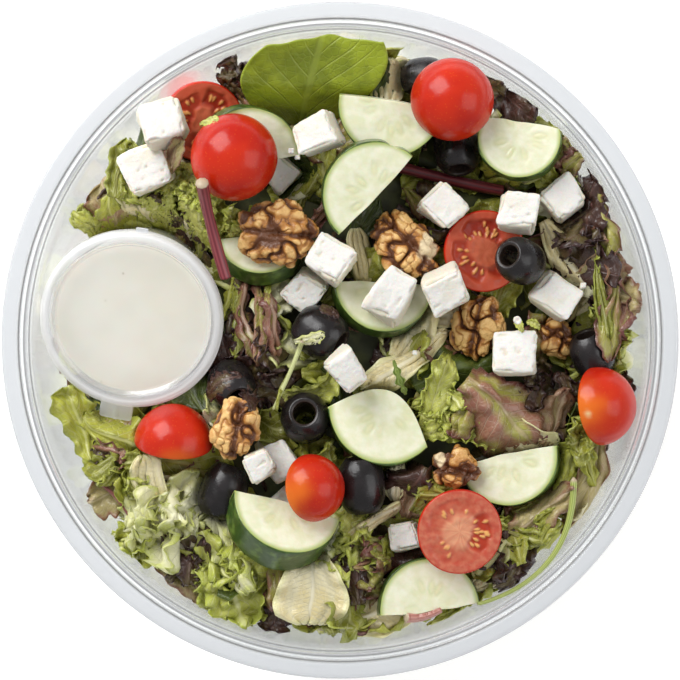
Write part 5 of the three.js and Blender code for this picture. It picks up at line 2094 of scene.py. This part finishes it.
@dataclass
class LeafBed:
    """All the loose leaves: those that show on top, those under them, and those against the bowl."""

    bowl: Bowl
    room: Room
    seed: int = 20
    made: dict[tuple[Kind, str], list[Shell]] = field(default_factory=dict)

    pot_bearing: ClassVar[float] = 182.0
    # leaves against the bowl: how many, and between which hundredths of the way from its middle to its top
    bands: ClassVar[tuple[tuple[int, float, float], ...]] = ((26, 5, 50), (90, 45, 80), (80, 74, 96))
    more_fold: ClassVar[dict[Kind, float]] = {Kind.PALE: 35, Kind.BRIGHT: 25, Kind.RED: -60}
    top_mix: ClassVar[list[tuple[Kind, float]]] = [
        (Kind.GREEN, 0.3), (Kind.BRIGHT, 0.14), (Kind.PALE, 0.08), (Kind.IVORY, 0.06), (Kind.RED, 0.13),
        (Kind.DARK, 0.18), (Kind.BROWN, 0.04), (Kind.BABY, 0.07),
    ]

    def keep(self, leaf: Leaf, layer: str, shell: Shell) -> None:
        """Adds a finished leaf to its kind and layer."""
        self.made.setdefault((leaf.kind, layer), []).append(shell)

    def lay(self, leaf: Leaf, layer: str, clear: float, fineness: float = 1.0) -> None:
        """Turns a leaf, puts it in its place, presses it into the room there, and gives it thickness.

        Args:
            leaf: The leaf.
            layer: Name of the layer that it belongs to.
            clear: Clearance under the toppings.
            fineness: Share of the usual number of points each way.
        """
        grid, marks = leaf.grid(fineness)
        pitch = axis_turn(X, leaf.pitch)
        roll = axis_turn(Y, leaf.roll)
        swing = axis_turn(Z, leaf.heading - 90)
        placed = grid @ (swing @ pitch @ roll).T + np.array([leaf.x, leaf.y, leaf.z])
        settled = self.room.settle(placed, clear, leaf.over)
        self.keep(leaf, layer, thin_sheet(settled, leaf.thickness(marks["leaf"][..., 0]), marks))

    def pick(self, rng: np.random.Generator) -> Kind:
        """One kind, as often as the mix has it."""
        kinds, shares = zip(*self.top_mix)
        return kinds[rng.choice(len(kinds), p=np.array(shares) / sum(shares))]

    def edge(self, bearing: float) -> float:
        """How far out the leaves come on top, with the gap that they leave at the lower left."""
        gap = 6 * bell(bearing - 212, 26)
        return 95 + 1.5 * math.sin(math.radians(5 * bearing + 34)) - gap

    def filler(self) -> None:
        """Scatters leaves under the picked ones, layer by layer, closer together towards the top."""
        rng = np.random.default_rng(self.seed)
        number = 1000
        for layer in LAYERS:
            for _ in range(layer.count):
                bearing = rng.uniform(0, 360)
                length = layer.length * rng.uniform(0.75, 1.35)
                out = math.sqrt(rng.uniform(layer.least**2, 1)) * (self.edge(bearing) - length * 0.26)
                x, y = out * math.cos(math.radians(bearing)), out * math.sin(math.radians(bearing))
                leaf = Leaf(
                    self.pick(rng), x, y, rng.uniform(0, 360), length, length * rng.uniform(0.45, 0.8),
                    rng.uniform(layer.low, layer.high), rng.uniform(-30, 40), rng.uniform(-45, 45),
                    rng.uniform(-70, 50), rng.uniform(-50, 70), seed=number,
                )
                self.lay(leaf, layer.name, rng.uniform(0.4, 2.4), layer.fineness)
                number += 1

    def tufts(self) -> None:
        """Scatters the small curly leaves of each tuft about its middle, steeply tilted every way."""
        rng = np.random.default_rng(self.seed + 3)
        number = 4000
        for kind, x, y, spread, count, size in TUFTS:
            for _ in range(count):
                bearing, out = rng.uniform(0, 2 * np.pi), spread * math.sqrt(rng.uniform())
                length = size * rng.uniform(0.75, 1.3)
                leaf = Leaf(
                    kind, x + out * math.cos(bearing), y + out * math.sin(bearing), rng.uniform(0, 360),
                    length, length * rng.uniform(0.6, 0.9), rng.uniform(51, 56), rng.uniform(-10, 60),
                    rng.uniform(-60, 60), rng.uniform(-80, 40), rng.uniform(-30, 80), seed=number,
                )
                self.lay(leaf, "upper", rng.uniform(0.3, 1.2), 0.65)
                number += 1

    def against_bowl(self) -> None:
        """Presses leaves against the base and the wall, lower down beside the pot: a leaf's own plane is
        carried onto the profile, so that its width runs round the bowl and its length up the wall, and
        its relief points inwards."""
        rng = np.random.default_rng(self.seed + 1)
        z = np.concatenate([np.full(12, 3.6), np.linspace(0.2, 1, 40) ** 2 * 53])
        r = np.concatenate([np.linspace(1, 46, 12), self.bowl.inner(z[12:])])
        run = np.concatenate([[0], np.cumsum(np.hypot(np.diff(r), np.diff(z)))])
        slope = unit(np.stack([np.gradient(r, run), np.gradient(z, run)], axis=1))
        number = 2000
        for count, low, high in self.bands:
            for _ in range(count):
                kind = self.pick(rng)
                length = rng.uniform(22, 38)
                leaf = Leaf(kind, 0, 0, rng.uniform(0, 360), length, length * rng.uniform(0.55, 0.85),
                            bend=rng.uniform(-10, 10), fold=rng.uniform(2, 20), seed=number)
                grid, marks = leaf.grid(0.62)
                spun = grid @ axis_turn(Z, leaf.heading).T
                start = run[-1] * rng.uniform(low, high) / 100
                bearing = rng.uniform(0, 2 * np.pi)
                by_pot = bell(math.degrees(bearing) - self.pot_bearing, 32)
                top = run[-1] * (rng.uniform(0.92, 1.0) - 0.34 * by_pot)
                s = np.clip(start + spun[..., 1], 2, None)
                s = np.where(s > top, top - 0.3 * (s - top), s)
                radius, height = np.interp(s, run, r), np.interp(s, run, z)
                tr, tz = np.interp(s, run, slope[:, 0]), np.interp(s, run, slope[:, 1])
                inward = 0.8 + 0.75 * (spun[..., 2] - spun[..., 2].min())
                around = bearing + spun[..., 0] / np.maximum(np.interp(start, run, r), 14)
                reach = radius - tz * inward
                wrapped = np.stack([reach * np.cos(around), reach * np.sin(around), height + tr * inward], -1)
                settled = self.room.settle(wrapped, 1.0, False)
                thin = leaf.thickness(marks["leaf"][..., 0]) * 0.8
                self.keep(leaf, "lower", thin_sheet(settled, thin, marks))
                number += 1

    def heart(self) -> None:
        """The tightly packed middle that the leaves lie round: a rounded body that follows the bowl at a
        distance, stays well under the toppings, and is lumpy all over. Its near-black colour is painted
        shade."""
        around, up = np.meshgrid(circle(96), np.linspace(0.02, 0.98, 60))
        r = 82 * np.sin(np.pi * up) ** 0.55
        z = 24 - 17 * np.cos(np.pi * up)
        r = np.minimum(r, self.bowl.inner(z) - 6)
        grid = np.stack([r * np.cos(around), r * np.sin(around), z], axis=-1)
        grid += 2.2 * noise_vector(grid, 9, 4)
        i, j = self.room.squares(grid[..., 0], grid[..., 1])
        grid[..., 2] = np.minimum(grid[..., 2], self.room.ceiling[j, i] - 5)
        # painted shade: near-black green, standing for the deep gaps between the leaves
        finish = PlainFinish("packed_leaf_heart", (0.035, 0.04, 0.012), (0.075, 0.085, 0.022), 180)
        make_piece("packed_leaves", capped(grid), finish.material(), ("salad_leaves",))

    def build(self) -> None:
        """Makes every leaf, joined as one piece for each kind in each layer."""
        self.heart()
        rng = np.random.default_rng(self.seed + 5)
        self.filler()
        self.tufts()
        for leaf in draped_leaves():
            leaf.bend, leaf.fold = rng.uniform(-20, 20), rng.uniform(10, 40)
            self.lay(leaf, "upper", 0, 0.7)
        for leaf in picked_leaves():
            leaf.bend, leaf.fold = rng.uniform(-40, 20), rng.uniform(-30, 55)
            leaf.fold += self.more_fold.get(leaf.kind, 0)
            self.lay(leaf, "upper", rng.uniform(0.4, 1.4))
        self.against_bowl()
        materials = {kind: habit.finish.material() for kind, habit in HABITS.items()}
        for (kind, layer), shells in self.made.items():
            make_piece(f"{layer}_{kind.value}", joined(shells), materials[kind], ("salad_leaves",))


# ---- the studio ----


@dataclass
class Studio:
    """A pale floor, a pale surround, a bright soft lamp at the upper left, a broad dim one at the right,
    and a camera straight above."""

    camera_height: float = 1.2
    lens: float = 199.4
    rim: float = 0.066
    surround: float = 0.5
    floor_half: float = 3.0

    def lamp(self, name: str, at: Place, size: tuple[float, float], watts: float) -> None:
        """Adds a rectangular lamp that faces the bowl.

        Args:
            name: Its name.
            at: Where it hangs, in metres.
            size: Its width and height, in metres.
            watts: Its power.
        """
        light = bpy.data.lights.new(name, "AREA")
        light.shape = "RECTANGLE"
        light.size, light.size_y = size
        light.energy = watts
        lamp = bpy.data.objects.new(name, light)
        lamp.location = at
        aim = -lamp.location.copy()
        aim.z += 0.05
        lamp.rotation_mode = "QUATERNION"
        lamp.rotation_quaternion = aim.to_track_quat("-Z", "Y")
        bpy.context.scene.collection.objects.link(lamp)

    def build(self) -> None:
        """Makes the floor, the surround, the lamps and the camera."""
        scene = bpy.context.scene
        scene.view_settings.view_transform = "Standard"
        scene.view_settings.look = "None"
        half = self.floor_half
        corners = [(-half, -half, 0), (half, -half, 0), (half, half, 0), (-half, half, 0)]
        mesh = bpy.data.meshes.new("floor")
        mesh.from_pydata(corners, [], [(0, 1, 2, 3)])
        white = PlainFinish("pale_floor", (0.9, 0.9, 0.9), (0.92, 0.92, 0.92), 3, 0.8, 0.5)
        mesh.materials.append(white.material())
        floor = bpy.data.objects.new("floor", mesh)
        scene.collection.objects.link(floor)
        world = bpy.data.worlds.new("surround")
        world.use_nodes = True
        background = world.node_tree.nodes["Background"]
        background.inputs["Color"].default_value = (0.97, 0.98, 1.0, 1.0)
        background.inputs["Strength"].default_value = self.surround
        scene.world = world
        self.lamp("window", (-0.58, 0.72, 0.72), (0.75, 0.9), 14.0)
        self.lamp("fill", (1.0, -0.1, 0.9), (0.9, 1.0), 5.0)
        camera = bpy.data.objects.new("camera", bpy.data.cameras.new("camera"))
        camera.data.sensor_width = 36
        camera.data.lens = self.lens
        camera.location = (0, 0, self.rim + self.camera_height)
        scene.collection.objects.link(camera)
        scene.camera = camera


def main() -> None:
    """Builds the salad from the bowl up and logs each piece."""
    logging.basicConfig(level=logging.INFO, format="%(message)s")
    Studio().build()
    bowl = Bowl()
    bowl.build()
    pot = DressingPot()
    pot.build()
    materials = {slot: finish.material() for slot, finish in FINISHES.items()}
    pale = PALE_TOMATO.material()
    above = [topping.build(pale if topping.name == "tomato_7" else materials[topping.slot])
             for topping in toppings()]
    make_piece("feta_crumbs", crumbs(), materials["feta"], ("feta_3",))
    above += [stalk.build() for stalk in STALKS]
    above.append(SpinachLeaf().build())
    above += [pot.placed(part) for part in (pot.pot(), pot.lid(), pot.tab(), pot.nub())]
    room = Room(bowl)
    room.measure(above)
    for sprig in SPRIGS:
        sprig.build(room)
    LeafBed(bowl, room).build()


if __name__ == "__main__":
    main()
